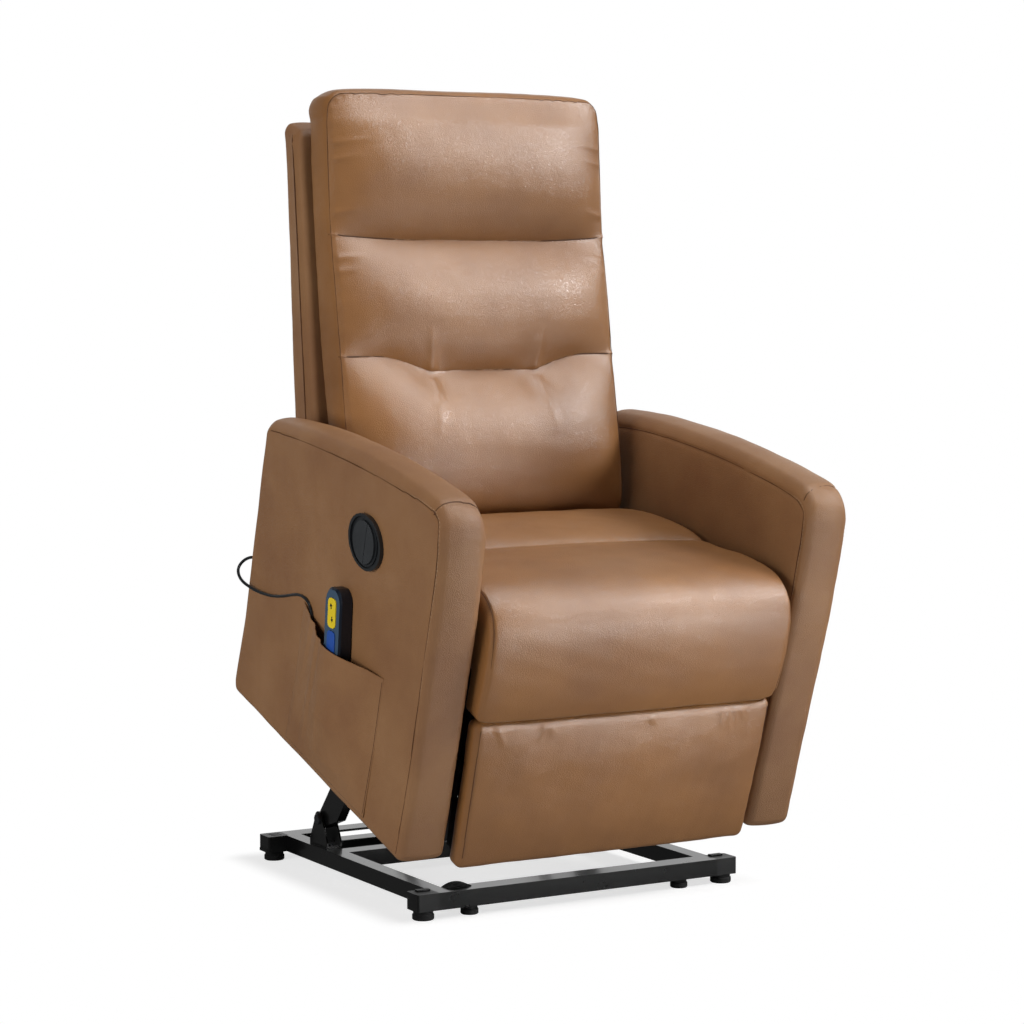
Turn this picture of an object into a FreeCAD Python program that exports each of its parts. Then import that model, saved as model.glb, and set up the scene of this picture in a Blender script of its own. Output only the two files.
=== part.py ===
import FreeCAD, Part
import math
import os

os.makedirs("parts", exist_ok=True)

# Lift recliner chair, in millimetres. +Z is up, the sitter faces -Y, left is -X as seen
# from the front. The origin is on the floor under the middle of the base frame.
# The chair is drawn raised, as it stands at rest here. Everything that the base does not
# carry is drawn in the chair's own frame, in which the seat is level: y runs back from the
# arm fronts, z up from the arm bottoms. chair_placement() tips it on to the lift linkage.

# Base frame
base_half_length = 285.6
base_half_width = 293.0
rail_bottom = 15.0
rail_height = 27.0
rail_wall = 2.0
front_rail_depth = 37.0
side_rail_width = 26.0
side_rail_outer = 259.0
corner_block_length = 38.0
block_lip = 1.2
cross_front_y = 67.0
cross_front_depth = 33.0
cross_rear_inset = 122.6
cross_rear_depth = 33.0
rear_strip_thickness = 4.0
rear_socket_length = 40.0
corner_foot_radius = 17.0
small_foot_radius = 14.0
small_foot_x = 193.0
foot_flare = 1.5
bumper_x = -210.0
bumper_length = 46.0
bumper_height = 7.0
bumper_depth = 16.0

# Lift linkage: a pair of arms hinged at the back of the base, a pair of front links
tilt = 18.0
arm_pivot_y = 143.8
arm_pivot_z = 86.3
arm_length = 215.0
arm_rest_angle = 46.0
arm_swing = 50.0
chair_pivot_y = 359.1
chair_pivot_z = 18.9
link_base_y = 80.8
link_base_z = 78.0
link_chair_y = 320.5
link_chair_z = 14.7
lift_arm_x = 229.0
lift_arm_width = 16.0
lift_arm_wall = 4.0
lift_arm_back = 12.0
lift_arm_front = 38.0
lift_arm_tip = 22.0
bracket_inner_x = 223.0
bracket_outer_x = 248.0
bracket_sheet = 3.0
bracket_foot = 64.0
bracket_top_radius = 13.0
pivot_bolt_radius = 6.0
bolt_head_radius = 9.0
bolt_head = 4.0
torque_radius = 15.0
torque_wall = 3.0
stub_radius = 8.0
front_link_x = 118.0
front_link_thickness = 8.0
front_link_half = 10.0
link_ear_gap = 3.0
link_ear_sheet = 3.0
link_pin_radius = 5.0
open_pivot_play = 1.7
running_clearance = 0.15
seat_touch = 0.05

# Side plates and cross tubes of the seat mechanism
plate_x = 249.0
plate_thickness = 4.0
cross_tube_radius = 10.0
front_tube_y = 66.0
front_tube_z = 118.0
mid_tube_y = 300.0
mid_tube_z = 52.0
back_tube_y = 236.0
rear_tube_y = 462.0

# Leg rest linkage: two parallelograms one behind the other on each side
leg_pivot_y = 60.0
leg_pivot_z = 220.0
leg_bar_length = 205.0
leg_rest_angle = 110.0
leg_swing = 90.0
leg_bar_half = 10.0
leg_bar_sheet = 4.0
leg_layer_gap = 2.0
leg_coupler_angle = 25.0
leg_coupler_offset = 42.0
leg_coupler_length = 79.6
leg_stay_offset = 80.0
leg_tube_radius = 12.5
rivet_radius = 4.0
rivet_head = 2.0
leg_flange_y = 32.0

# Linear drives: a slotted yoke on each push rod drives a crank pin
crank_pin_radius = 5.0
crank_sheet = 4.0
crank_gap = 6.0
crank_end = 11.0
yoke_thickness = 8.0
yoke_wall = 6.0
rod_radius = 8.0
drive_tube_radius = 15.0
gearbox_size = 44.0
motor_radius = 22.0
motor_length = 92.0
lift_crank_length = 80.0
leg_crank_length = 45.0
back_lever_length = 100.0
yoke_side_play = 0.35
back_drive_x = 90.0

# Power box
control_width = 92.0
control_length = 122.0
control_height = 40.0
control_drop = 23.6
control_x = -144.0

# Seat, arms and leg rest
arm_inner = 274.0
arm_outer = 349.0
arm_flare = 11.0
arm_height = 556.0
arm_rear_height = 472.0
arm_depth = 622.0
arm_crown = 14.0
arm_round = 22.0
seat_half_width = 262.0
seat_front_y = -26.0
seat_bottom_z = 225.0
seat_deck_z = 292.0
seat_crest_z = 418.0
seat_rear_y = 462.0
seat_rear_z = 352.0
frame_board = 18.0
frame_bottom_z = 236.0
frame_top_z = 290.0
frame_front_y = 26.0
frame_rear_y = 492.0
strap_count = 5
strap_width = 50.0
strap_thickness = 2.0
pad_front_y = -18.0
pad_back_y = 20.0
pad_bottom_z = -22.0
pad_top_z = 218.0
pad_board = 12.0
soft_gap = 0.4

# Backrest
hinge_y = 560.0
hinge_z = 250.0
recline = 35.0
back_half_width = 262.0
back_cushion_half = 257.0
shell_bottom_z = 297.0
shell_top_z = 908.0
shell_edge = 13.0
flap_bottom_z = 185.0
flap_half_width = 238.0
flap_thickness = 12.0
hinge_plate_x = 242.0
hinge_plate = 4.0
upright_top_z = 430.0
upright_half = 18.0
back_tube_radius = 12.0

# Side pocket, switch and handset
pocket_sheet = 2.0
pocket_front_y = 118.0
pocket_rear_y = 405.0
pocket_bottom_z = 12.0
pocket_top_z = 232.0
pocket_slack = 11.0
pocket_bulge = 33.0
switch_y = 226.0
switch_z = 421.0
switch_half_length = 54.0
switch_half_height = 42.0
switch_height = 9.0
button_clearance = 0.6
handset_width = 54.0
handset_thickness = 23.0
handset_length = 158.0
handset_bevel = 3.0
handset_lean = 12.0
handset_y = 243.0
handset_z = 171.0
handset_gap = 3.5
cord_radius = 2.5
grommet_radius = 6.0

# Route of the handset's cord, chair frame, from the arm's rear face to the handset
cord_route = [
    (-334.0, arm_depth + 9.0, 222.0),
    (-334.0, arm_depth + 24.0, 222.0),
    (-347.0, arm_depth + 34.0, 214.0),
    (-362.0, arm_depth + 27.0, 201.0),
    (-367.0, arm_depth + 1.0, 192.0),
    (-362.0, 588.0, 191.0),
    (-359.0, 548.0, 198.0),
    (-358.0, 506.0, 211.0),
    (-358.0, 462.0, 232.0),
    (-358.5, 422.0, 252.0),
    (-359.5, 384.0, 254.0),
    (-359.5, 362.0, 226.0),
    (-359.5, 356.0, 178.0),
    (-360.5, 343.0, 143.0),
    (-363.0, 310.0, 116.0),
    (-366.5, 268.0, 100.0),
]


def box(x0, x1, y0, y1, z0, z1):
    return Part.makeBox(x1 - x0, y1 - y0, z1 - z0, FreeCAD.Vector(x0, y0, z0))


def rod_x(x0, x1, y, z, radius):
    return Part.makeCylinder(radius, x1 - x0, FreeCAD.Vector(x0, y, z), FreeCAD.Vector(1, 0, 0))


def rod_y(y0, y1, x, z, radius):
    return Part.makeCylinder(radius, y1 - y0, FreeCAD.Vector(x, y0, z), FreeCAD.Vector(0, 1, 0))


def outline(x, steps):
    """Closed wire in the plane at x: a point alone ends a line, a pair ends an arc through
    its first point."""
    edges = []
    here = steps[0]
    for step in steps[1:]:
        if isinstance(step[0], tuple):
            via, end = step
            arc = Part.Arc(vector(x, here), vector(x, via), vector(x, end))
            edges.append(arc.toShape())
            here = end
        else:
            edges.append(Part.makeLine(vector(x, here), vector(x, step)))
            here = step
    return Part.Wire(edges)


def vector(x, point):
    return FreeCAD.Vector(x, point[0], point[1])


def sheet(x0, x1, steps):
    """Plate between x0 and x1 whose outline is drawn as for outline()."""
    face = Part.Face(outline(x0, steps))
    return face.extrude(FreeCAD.Vector(x1 - x0, 0, 0))


def fuse(shapes):
    whole = shapes[0].fuse(shapes[1:])
    return whole.removeSplitter()


def bar(x0, x1, start, end, half, end_half=None):
    """Flat link with round ends of radius half about start and end_half about end."""
    end_half = end_half or half
    dy, dz = end[0] - start[0], end[1] - start[1]
    length = math.hypot(dy, dz)
    lean = math.asin((half - end_half) / length)
    along = math.atan2(dz, dy)
    above = along + math.pi / 2 - lean
    below = along - math.pi / 2 + lean

    def rim(centre, radius, angle):
        return (centre[0] + radius * math.cos(angle), centre[1] + radius * math.sin(angle))

    return sheet(x0, x1, [
        rim(start, half, above),
        (rim(start, half, along + math.pi), rim(start, half, below)),
        rim(end, end_half, below),
        (rim(end, end_half, along), rim(end, end_half, above)),
        rim(start, half, above),
    ])


def polar(centre, length, degrees):
    """Point at length and angle from centre; the angle turns from +Y to +Z."""
    angle = math.radians(degrees)
    return (centre[0] + length * math.cos(angle), centre[1] + length * math.sin(angle))


def mirrored(shape):
    return shape.mirror(FreeCAD.Vector(0, 0, 0), FreeCAD.Vector(1, 0, 0))


def pair(shape):
    return [shape, mirrored(shape)]


def chair_placement():
    """The lift linkage carries the chair pivot on the arm ends and tips the chair forward."""
    pivot = polar((arm_pivot_y, arm_pivot_z), arm_length, 180.0 - arm_rest_angle)
    turned = polar((0.0, 0.0), math.hypot(chair_pivot_y, chair_pivot_z),
                   math.degrees(math.atan2(chair_pivot_z, chair_pivot_y)) + tilt)
    corner = FreeCAD.Vector(0, pivot[0] - turned[0], pivot[1] - turned[1])
    return FreeCAD.Placement(corner, FreeCAD.Rotation(FreeCAD.Vector(1, 0, 0), tilt))


def save(name, shapes, on_chair=True):
    """Write one node; chair pieces are placed from their own frame."""
    solids = []
    for shape in shapes:
        solids.extend(shape.Solids)
    node = Part.makeCompound(solids) if len(solids) > 1 else solids[0]
    if on_chair:
        node = node.copy()
        node.transformShape(chair_placement().toMatrix(), True)
    bad = [solid for solid in node.Solids if not solid.isValid() or solid.Volume <= 0]
    print(name, len(node.Solids), "solids", "INVALID" if bad else "")
    node.exportStep("parts/" + name + ".step")


# Base frame

rail_top = rail_bottom + rail_height


def hollow(x0, x1, y0, y1, along):
    """Square tube of the base, open at both ends, along X or along Y."""
    wall = rail_wall
    outer = box(x0, x1, y0, y1, rail_bottom, rail_top)
    if along == "x":
        bore = box(x0, x1, y0 + wall, y1 - wall, rail_bottom + wall, rail_top - wall)
    else:
        bore = box(x0 + wall, x1 - wall, y0, y1, rail_bottom + wall, rail_top - wall)
    return outer.cut(bore)


def front_rail():
    reach = base_half_width - corner_block_length
    return hollow(-reach, reach, -base_half_length, -base_half_length + front_rail_depth, "x")


def side_rail():
    front = -base_half_length + front_rail_depth
    rear = base_half_length - front_rail_depth
    return hollow(side_rail_outer - side_rail_width, side_rail_outer, front, rear, "y")


def cross_member(y, depth):
    reach = side_rail_outer - side_rail_width
    return hollow(-reach, reach, y, y + depth, "x")


def rear_strip():
    reach = base_half_width - corner_block_length
    y0 = base_half_length - front_rail_depth
    return box(-reach, reach, y0, base_half_length, rail_top - rear_strip_thickness, rail_top)


def front_block():
    """Moulded end block with a raised rib on top and rounded upright edges."""
    x0 = base_half_width - corner_block_length
    y0 = -base_half_length
    y1 = y0 + front_rail_depth
    body = box(x0, base_half_width, y0, y1, rail_bottom, rail_top)
    body = body.makeFillet(3.0, upright_edges(body, base_half_width))
    rib = box(x0 + 4, base_half_width - 12, y1 - 14, y1 - 4, rail_top, rail_top + 2.5)
    return fuse([body, rib.makeFillet(1.0, rib.Edges[8:12])])


def upright_edges(shape, x):
    """Edges along Z that lie at the outer end of a block."""
    found = []
    for edge in shape.Edges:
        box_of = edge.BoundBox
        if box_of.ZLength > 5 and box_of.XLength < 0.01 and abs(box_of.XMax - x) < 0.01:
            found.append(edge)
    return found


def rear_block():
    """Moulded corner: an outer block, and a socket under the rear strip's end."""
    x0 = base_half_width - corner_block_length
    y0 = base_half_length - front_rail_depth
    body = box(x0, base_half_width, y0, base_half_length, rail_bottom, rail_top)
    body = body.makeFillet(3.0, upright_edges(body, base_half_width))
    under = rail_top - rear_strip_thickness
    socket = box(x0 - rear_socket_length, x0, y0, base_half_length, rail_bottom, under)
    slots = []
    for offset in (10.0, 20.0):
        slots.append(box(x0 + 8, base_half_width - 10, y0 + offset, y0 + offset + 4,
                         rail_top - 3, rail_top))
    lip = box(base_half_width - 6, base_half_width + block_lip, y0 + 3, base_half_length - 3,
              rail_bottom, rail_bottom + 5)
    return fuse([body, socket, lip]).cut(slots)


def foot(x, y, radius):
    """Turned glide, narrower at the top, on a short spigot into its rail."""
    top = rail_bottom
    steps = [
        (0, 0), (radius - foot_flare, 0), (radius, foot_flare), (radius, 8.0),
        (radius - foot_flare, 9.5), (radius - foot_flare, top), (0, top), (0, 0),
    ]
    points = [FreeCAD.Vector(x + r, y, z) for r, z in steps]
    face = Part.Face(Part.makePolygon(points))
    return face.revolve(FreeCAD.Vector(x, y, 0), FreeCAD.Vector(0, 0, 1), 360)


def feet():
    inset = corner_block_length / 2
    front_y = -base_half_length + front_rail_depth / 2
    rear_y = base_half_length - front_rail_depth / 2
    glides = []
    for y in (front_y, rear_y):
        glides.extend(pair(foot(base_half_width - inset, y, corner_foot_radius)))
    glides.extend(pair(foot(small_foot_x, front_y, small_foot_radius)))
    return glides


def bumper():
    """Low rubber dome on the back edge of the front rail."""
    y0 = -base_half_length + front_rail_depth - bumper_depth
    x0 = bumper_x - bumper_length / 2
    x1 = bumper_x + bumper_length / 2
    start = FreeCAD.Vector(x0, y0, rail_top)
    via = FreeCAD.Vector(bumper_x, y0, rail_top + bumper_height)
    end = FreeCAD.Vector(x1, y0, rail_top)
    edges = [Part.Arc(start, via, end).toShape(), Part.makeLine(end, start)]
    return Part.Face(Part.Wire(edges)).extrude(FreeCAD.Vector(0, bumper_depth, 0))


arm_pivot = (arm_pivot_y, arm_pivot_z)
link_base = (link_base_y, link_base_z)


def lift_bracket():
    """Folded bracket on the side rail: two ears and a foot between them."""
    half = bracket_foot / 2
    foot_z = rail_top + bracket_sheet
    ear = [
        (arm_pivot_y - half, rail_top),
        (arm_pivot_y + half, rail_top),
        (arm_pivot_y + half, foot_z + 5),
        (arm_pivot_y + bracket_top_radius, arm_pivot_z),
        ((arm_pivot_y, arm_pivot_z + bracket_top_radius),
         (arm_pivot_y - bracket_top_radius, arm_pivot_z)),
        (arm_pivot_y - half, foot_z + 5),
        (arm_pivot_y - half, rail_top),
    ]
    ears = []
    for x in (bracket_inner_x, bracket_outer_x):
        plate = sheet(x, x + bracket_sheet, ear)
        hole = rod_x(x - 1, x + bracket_sheet + 1, *arm_pivot, pivot_bolt_radius + seat_touch)
        ears.append(plate.cut(hole))
    foot_plate = box(bracket_inner_x, bracket_outer_x + bracket_sheet,
                     arm_pivot_y - half, arm_pivot_y + half, rail_top, foot_z)
    return fuse(ears + [foot_plate])


def pivot_bolt():
    """Shouldered bolt through both ears, with a head outside and a nut inside."""
    inner = bracket_inner_x - bolt_head
    outer = bracket_outer_x + bracket_sheet
    shank = rod_x(inner, outer + 1, *arm_pivot, pivot_bolt_radius)
    head = rod_x(outer, outer + bolt_head, *arm_pivot, bolt_head_radius)
    nut = rod_x(inner, bracket_inner_x, *arm_pivot, bolt_head_radius)
    return fuse([shank, head.makeFillet(1.5, [head.Edges[0]]), nut])


def foot_screws():
    """Screws that hold the lift bracket's foot to the side rail."""
    screws = []
    x = side_rail_outer - side_rail_width / 2 - 6
    for y in (arm_pivot_y - 24, arm_pivot_y + 24):
        base = FreeCAD.Vector(x, y, rail_top + bracket_sheet)
        screws.append(Part.makeCylinder(4.0, 2.5, base))
    return screws


def link_bracket():
    """Folded bracket on the front cross member for one front link."""
    x0 = front_link_x - link_ear_gap - link_ear_sheet
    x1 = front_link_x + front_link_thickness + link_ear_gap
    half = cross_front_depth / 2 - 2
    centre_y = cross_front_y + cross_front_depth / 2
    ear = [
        (centre_y - half, rail_top),
        (centre_y + half, rail_top),
        (link_base_y + front_link_half, link_base_z),
        ((link_base_y, link_base_z + front_link_half),
         (link_base_y - front_link_half, link_base_z)),
        (centre_y - half, rail_top),
    ]
    foot_plate = box(x0, x1 + link_ear_sheet, centre_y - half, centre_y + half,
                     rail_top, rail_top + link_ear_sheet)
    pin = rod_x(x0 - 2, x1 + link_ear_sheet + 2, *link_base, link_pin_radius)
    return fuse([sheet(x, x + link_ear_sheet, ear) for x in (x0, x1)] + [foot_plate, pin])


def build_base():
    save("base_front_rail", [front_rail()], False)
    rail = side_rail()
    save("base_side_rail_right", [rail], False)
    save("base_side_rail_left", [mirrored(rail)], False)
    save("base_rear_strip", [rear_strip()], False)
    save("base_cross_front", [cross_member(cross_front_y, cross_front_depth)], False)
    save("base_cross_rear", [cross_member(base_half_length - cross_rear_inset, cross_rear_depth)], False)
    save("base_corner_blocks", pair(front_block()) + pair(rear_block()), False)
    save("base_feet", feet(), False)
    save("rail_bumper", [bumper()], False)
    save("lift_brackets", pair(lift_bracket()), False)
    screws = []
    for screw in foot_screws():
        screws.extend(pair(screw))
    save("lift_pivot_bolts", pair(pivot_bolt()) + screws, False)
    save("front_link_brackets", pair(link_bracket()), False)


# Lift arms and front links, drawn in the world at rest

arm_tip = polar(arm_pivot, arm_length, 180.0 - arm_rest_angle)


def on_arm(along, across):
    """Point on the lift arm: along from its lower pivot, across towards its rear side."""
    angle = math.radians(180.0 - arm_rest_angle)
    return (arm_pivot_y + along * math.cos(angle) + across * math.sin(angle),
            arm_pivot_z + along * math.sin(angle) - across * math.cos(angle))


def lift_arm():
    """Pressed channel: deep along its front edge, open on its inner side."""
    x0 = lift_arm_x
    x1 = lift_arm_x + lift_arm_width
    steps = [
        on_arm(0, lift_arm_back),
        on_arm(arm_length, lift_arm_tip),
        (on_arm(arm_length + lift_arm_tip, 0), on_arm(arm_length, -lift_arm_tip)),
        on_arm(arm_length * 0.8, -lift_arm_front * 0.72),
        on_arm(arm_length * 0.2, -lift_arm_front),
        on_arm(4, -lift_arm_back - 6),
        (on_arm(-lift_arm_back, 0), on_arm(0, lift_arm_back)),
    ]
    body = sheet(x0, x1, steps)
    inner = Part.Face(outline(x0, steps)).makeOffset2D(-lift_arm_wall)
    pocket = inner.extrude(FreeCAD.Vector(lift_arm_width - lift_arm_wall, 0, 0))
    bosses = [rod_x(x0, x1, *arm_pivot, lift_arm_back), rod_x(x0, x1, *arm_tip, lift_arm_tip - 4)]
    body = fuse([body.cut(pocket)] + bosses)
    lower = rod_x(x0 - 1, x1 + 1, *arm_pivot, pivot_bolt_radius + running_clearance)
    upper = rod_x(x0 - 1, x1 + 1, *arm_tip, stub_radius + seat_touch)
    return body.cut([lower, upper])


def lift_torque_tube():
    """Tube between the arm tips, with a plug and a stub axle at each end."""
    reach = lift_arm_x
    tube = rod_x(-reach, reach, *arm_tip, torque_radius)
    tube = tube.cut(rod_x(-reach, reach, *arm_tip, torque_radius - torque_wall))
    plug = rod_x(reach - 14, reach, *arm_tip, torque_radius - torque_wall)
    stub = rod_x(reach - 14, plate_x + plate_thickness + 1.5, *arm_tip, stub_radius)
    return fuse([tube] + pair(plug) + pair(stub))


def crank(axis, tube_radius, length, degrees, x_centre=0.0):
    """Two crank plates on a tube and the pin between their ends."""
    pin_at = polar(axis, length, degrees)
    plates = []
    for side in (-1, 1):
        near = x_centre + side * crank_gap
        far = x_centre + side * (crank_gap + crank_sheet)
        plate = bar(min(near, far), max(near, far), axis, pin_at, tube_radius + 5, crank_end)
        plates.append(plate.cut(rod_x(min(near, far) - 1, max(near, far) + 1, *axis, tube_radius)))
    reach = crank_gap + crank_sheet
    pin = rod_x(x_centre - reach, x_centre + reach, *pin_at, crank_pin_radius)
    return fuse(plates + [pin])


# Half the lift crank's turn against the chair, and its angle at rest in the chair's frame
lift_half_turn = (arm_swing + tilt) / 2
lift_crank_rest = 90.0 - lift_half_turn


def front_link():
    """Goose-necked link that dips under the torque tube when the chair is down."""
    upper = chair_point(link_chair_y, link_chair_z)
    x0 = front_link_x
    x1 = front_link_x + front_link_thickness
    dy, dz = link_base_y - upper[0], link_base_z - upper[1]
    length = math.hypot(dy, dz)
    along = math.degrees(math.atan2(dz, dy))
    neck = front_link_half + torque_radius + 6.0

    def place(run, dip):
        point = polar(upper, run, along)
        return polar(point, dip, along - 90.0)

    half = front_link_half
    shoulder = length * 0.55
    upper_end = [
        place(-half - 2, 0),
        (place(-5, neck * 0.75), place(16, neck + half - 2)),
        (place(42, neck + half + 3), place(shoulder, neck * 0.55 + half)),
        place(length, half),
    ]
    lower_end = [
        (place(length + half, 0), place(length, -half)),
        place(shoulder + 4, neck * 0.55 - half),
        (place(42, neck - half), place(22, neck * 0.45)),
        (place(13, 12), place(half + 2, 0)),
        (place(0, -half - 2), place(-half - 2, 0)),
    ]
    body = sheet(x0, x1, upper_end + lower_end)
    top = rod_x(x0 - 1, x1 + 1, *upper, link_pin_radius + open_pivot_play)
    foot_hole = rod_x(x0 - 1, x1 + 1, *link_base, link_pin_radius + running_clearance)
    return body.cut([top, foot_hole])


def chair_point(y, z):
    """World place, as (y, z), of a point of the chair's frame."""
    moved = chair_placement().multVec(FreeCAD.Vector(0, y, z))
    return (moved.y, moved.z)


def build_lift():
    arm = lift_arm()
    save("lift_arm_right", [arm], False)
    save("lift_arm_left", [mirrored(arm)], False)
    save("lift_torque_tube", [lift_torque_tube()], False)
    axis = (chair_pivot_y, chair_pivot_z)
    save("lift_crank", [crank(axis, torque_radius, lift_crank_length, lift_crank_rest)])
    save("front_links", pair(front_link()), False)


# Linear drives


def yoke_share(half_turn):
    """Share of radius times angle by which a yoke on a steady ratio follows its crank pin
    best: the error at the end of the turn then equals the one inside it."""
    end = math.radians(half_turn)
    low, high = math.sin(end) / end, 1.0
    for _ in range(50):
        share = (low + high) / 2
        inside = math.acos(share)
        bulge = math.sin(inside) - share * inside
        if bulge > share * end - math.sin(end):
            low = share
        else:
            high = share
    return share


def yoke_reach(length, half_turn):
    """Distance of the yoke's slot from the crank's axis at the end of the turn."""
    return length * yoke_share(half_turn) * math.radians(half_turn)


def yoke_play(length, half_turn):
    """Side play that the slot needs for the pin to stay inside it over the whole turn."""
    end = math.radians(half_turn)
    return length * (yoke_share(half_turn) * end - math.sin(end)) + yoke_side_play


def push_rod(slot_y, line_z, tail_y, length, half_turn, x_centre=0.0):
    """Round rod with a flat yoke; the crank pin rides up and down in the yoke's slot."""
    play = yoke_play(length, half_turn)
    slot_half = crank_pin_radius + play
    rise = length * (1 - math.cos(math.radians(half_turn))) / 2
    slot_rise = rise + slot_half + 0.3
    half_y = slot_half + yoke_wall
    half_z = slot_rise + yoke_wall
    x0 = x_centre - yoke_thickness / 2
    x1 = x_centre + yoke_thickness / 2
    plate = box(x0, x1, slot_y - half_y, slot_y + half_y, line_z - half_z, line_z + half_z)
    plate = plate.makeFillet(4.0, [e for e in plate.Edges if e.BoundBox.XLength > 1])
    slot = bar(x0 - 1, x1 + 1, (slot_y, line_z - slot_rise + slot_half),
               (slot_y, line_z + slot_rise - slot_half), slot_half)
    plate = plate.cut(slot)
    if tail_y < slot_y:
        rod = rod_y(tail_y, slot_y - slot_half - 1, x_centre, line_z, rod_radius)
    else:
        rod = rod_y(slot_y + slot_half + 1, tail_y, x_centre, line_z, rod_radius)
    flat_y = half_y + crank_end
    flats = box(x0 - 20, x0, slot_y - flat_y, slot_y + flat_y,
                line_z - rod_radius, line_z + rod_radius)
    other = box(x1, x1 + 20, slot_y - flat_y, slot_y + flat_y,
                line_z - rod_radius, line_z + rod_radius)
    return fuse([plate, rod.cut([flats, other])])


def drive_housing(gear_y, tube_end, line_z, clevis_y, x_centre=0.0):
    """Gearbox block with the outer tube on one side and a clevis tongue on the other."""
    half = gearbox_size / 2
    block = box(x_centre - half, x_centre + half, gear_y - half, gear_y + half,
                line_z - half, line_z + half)
    block = block.makeFillet(6.0, [e for e in block.Edges if e.BoundBox.YLength > 10])
    y0, y1 = sorted((gear_y, tube_end))
    tube = rod_y(y0, y1, x_centre, line_z, drive_tube_radius)
    tongue_y0, tongue_y1 = sorted((clevis_y, gear_y))
    tongue = box(x_centre - 6, x_centre + 6, tongue_y0, tongue_y1, line_z - 9, line_z + 9)
    bore_y0, bore_y1 = sorted((gear_y + math.copysign(half - 6, tube_end - gear_y), tube_end))
    bore = rod_y(bore_y0 - 1, bore_y1 + 1, x_centre, line_z, rod_radius + running_clearance * 2)
    clevis_hole = rod_x(x_centre - 10, x_centre + 10, clevis_y, line_z,
                        cross_tube_radius + seat_touch)
    return fuse([block, tube, tongue]).cut([bore, clevis_hole])


def drive_motor(gear_y, line_z, side, x_centre=0.0):
    """Motor can on the side of a gearbox, with a rolled rim and an end cap."""
    start = x_centre + side * gearbox_size / 2
    end = start + side * motor_length
    x0, x1 = sorted((start, end))
    can = rod_x(x0, x1, gear_y, line_z, motor_radius)
    cap_x = end
    c0, c1 = sorted((cap_x, cap_x + side * 5))
    cap = rod_x(c0, c1, gear_y, line_z, motor_radius - 6)
    return fuse([can.makeFillet(2.0, [can.Edges[0], can.Edges[2]]), cap])


lift_line_z = chair_pivot_z + lift_crank_length * (1 + math.cos(math.radians(lift_half_turn))) / 2
leg_half_turn = leg_swing / 2
leg_line_z = leg_pivot_z - leg_crank_length * (1 + math.cos(math.radians(leg_half_turn))) / 2
back_half_turn = recline / 2
back_line_z = hinge_z - back_lever_length * (1 + math.cos(math.radians(back_half_turn))) / 2


def build_drives():
    lift_slot = chair_pivot_y + yoke_reach(lift_crank_length, lift_half_turn)
    save("lift_push_rod", [push_rod(lift_slot, lift_line_z, 250.0, lift_crank_length,
                                    lift_half_turn)])
    save("lift_drive_housing", [drive_housing(106.0, 290.0, lift_line_z, front_tube_y)])
    save("lift_motor", [drive_motor(106.0, lift_line_z, 1)])
    leg_slot = leg_pivot_y + yoke_reach(leg_crank_length, leg_half_turn)
    save("recline_push_rod", [push_rod(leg_slot, leg_line_z, 216.0, leg_crank_length,
                                       leg_half_turn)])
    save("recline_drive_housing", [drive_housing(423.0, 116.0, leg_line_z, rear_tube_y)])
    save("recline_motor", [drive_motor(423.0, leg_line_z, -1)])
    back_slot = hinge_y + yoke_reach(back_lever_length, back_half_turn)
    save("back_push_rod", [push_rod(back_slot, back_line_z, 468.0, back_lever_length,
                                    back_half_turn, back_drive_x)])
    save("back_drive_housing", [drive_housing(276.0, 505.0, back_line_z, back_tube_y,
                                              back_drive_x)])
    save("back_motor", [drive_motor(276.0, back_line_z, 1, back_drive_x)])


# Seat mechanism, chair frame

leg_pivot = (leg_pivot_y, leg_pivot_z)

def forward(centre, length, degrees):
    """Point at length and angle from centre; the angle turns from forward (-Y) to +Z."""
    return polar(centre, length, 180.0 - degrees)


leg_knee = forward(leg_pivot, leg_bar_length, -leg_rest_angle)
leg_second = forward(leg_pivot, -leg_coupler_offset, leg_coupler_angle)
leg_second_end = forward(leg_knee, -leg_coupler_offset, leg_coupler_angle)
leg_coupler_end = forward(leg_knee, leg_coupler_length, leg_coupler_angle)
leg_stay_start = forward(leg_knee, -leg_stay_offset, -leg_rest_angle)
leg_stay_end = forward(leg_coupler_end, -leg_stay_offset, -leg_rest_angle)

# Layers of flat bars outside each side plate
layer_one = plate_x + plate_thickness + leg_layer_gap
layer_two = layer_one + leg_bar_sheet + leg_layer_gap


def rivet(at, x0):
    """Rivet from a bar's inner face at x0 out through the next layer, with a round head."""
    end = layer_two + leg_bar_sheet + 0.5
    shank = rod_x(x0, end, *at, rivet_radius)
    head = rod_x(end, end + rivet_head, *at, rivet_radius + 2.5)
    return fuse([shank, head.makeFillet(1.2, [head.Edges[0]])])


def holes(x0, x1, places, radius):
    return [rod_x(x0 - 1, x1 + 1, *at, radius) for at in places]


def leg_bar():
    """Main bar: welded to the torque tube, riveted to the coupler and the stay."""
    x1 = layer_one + leg_bar_sheet
    flat = bar(layer_one, x1, leg_pivot, leg_knee, leg_bar_half + 5, leg_bar_half)
    flat = flat.cut(rod_x(layer_one - 1, x1 + 1, *leg_pivot, leg_tube_radius))
    return fuse([flat, rivet(leg_knee, layer_one), rivet(leg_stay_start, layer_one)])


def leg_control_bar():
    """Second bar of the first parallelogram."""
    x1 = layer_one + leg_bar_sheet
    flat = bar(layer_one, x1, leg_second, leg_second_end, leg_bar_half)
    flat = flat.cut(holes(layer_one, x1, [leg_second], rivet_radius + running_clearance))
    return fuse([flat, rivet(leg_second_end, layer_one)])


def leg_coupler():
    """Coupler from the control bar past the main bar to the leg rest bracket."""
    x1 = layer_two + leg_bar_sheet
    flat = bar(layer_two, x1, leg_second_end, leg_coupler_end, leg_bar_half)
    ends = [leg_second_end, leg_knee, leg_coupler_end]
    return flat.cut(holes(layer_two, x1, ends, rivet_radius + running_clearance))


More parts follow.
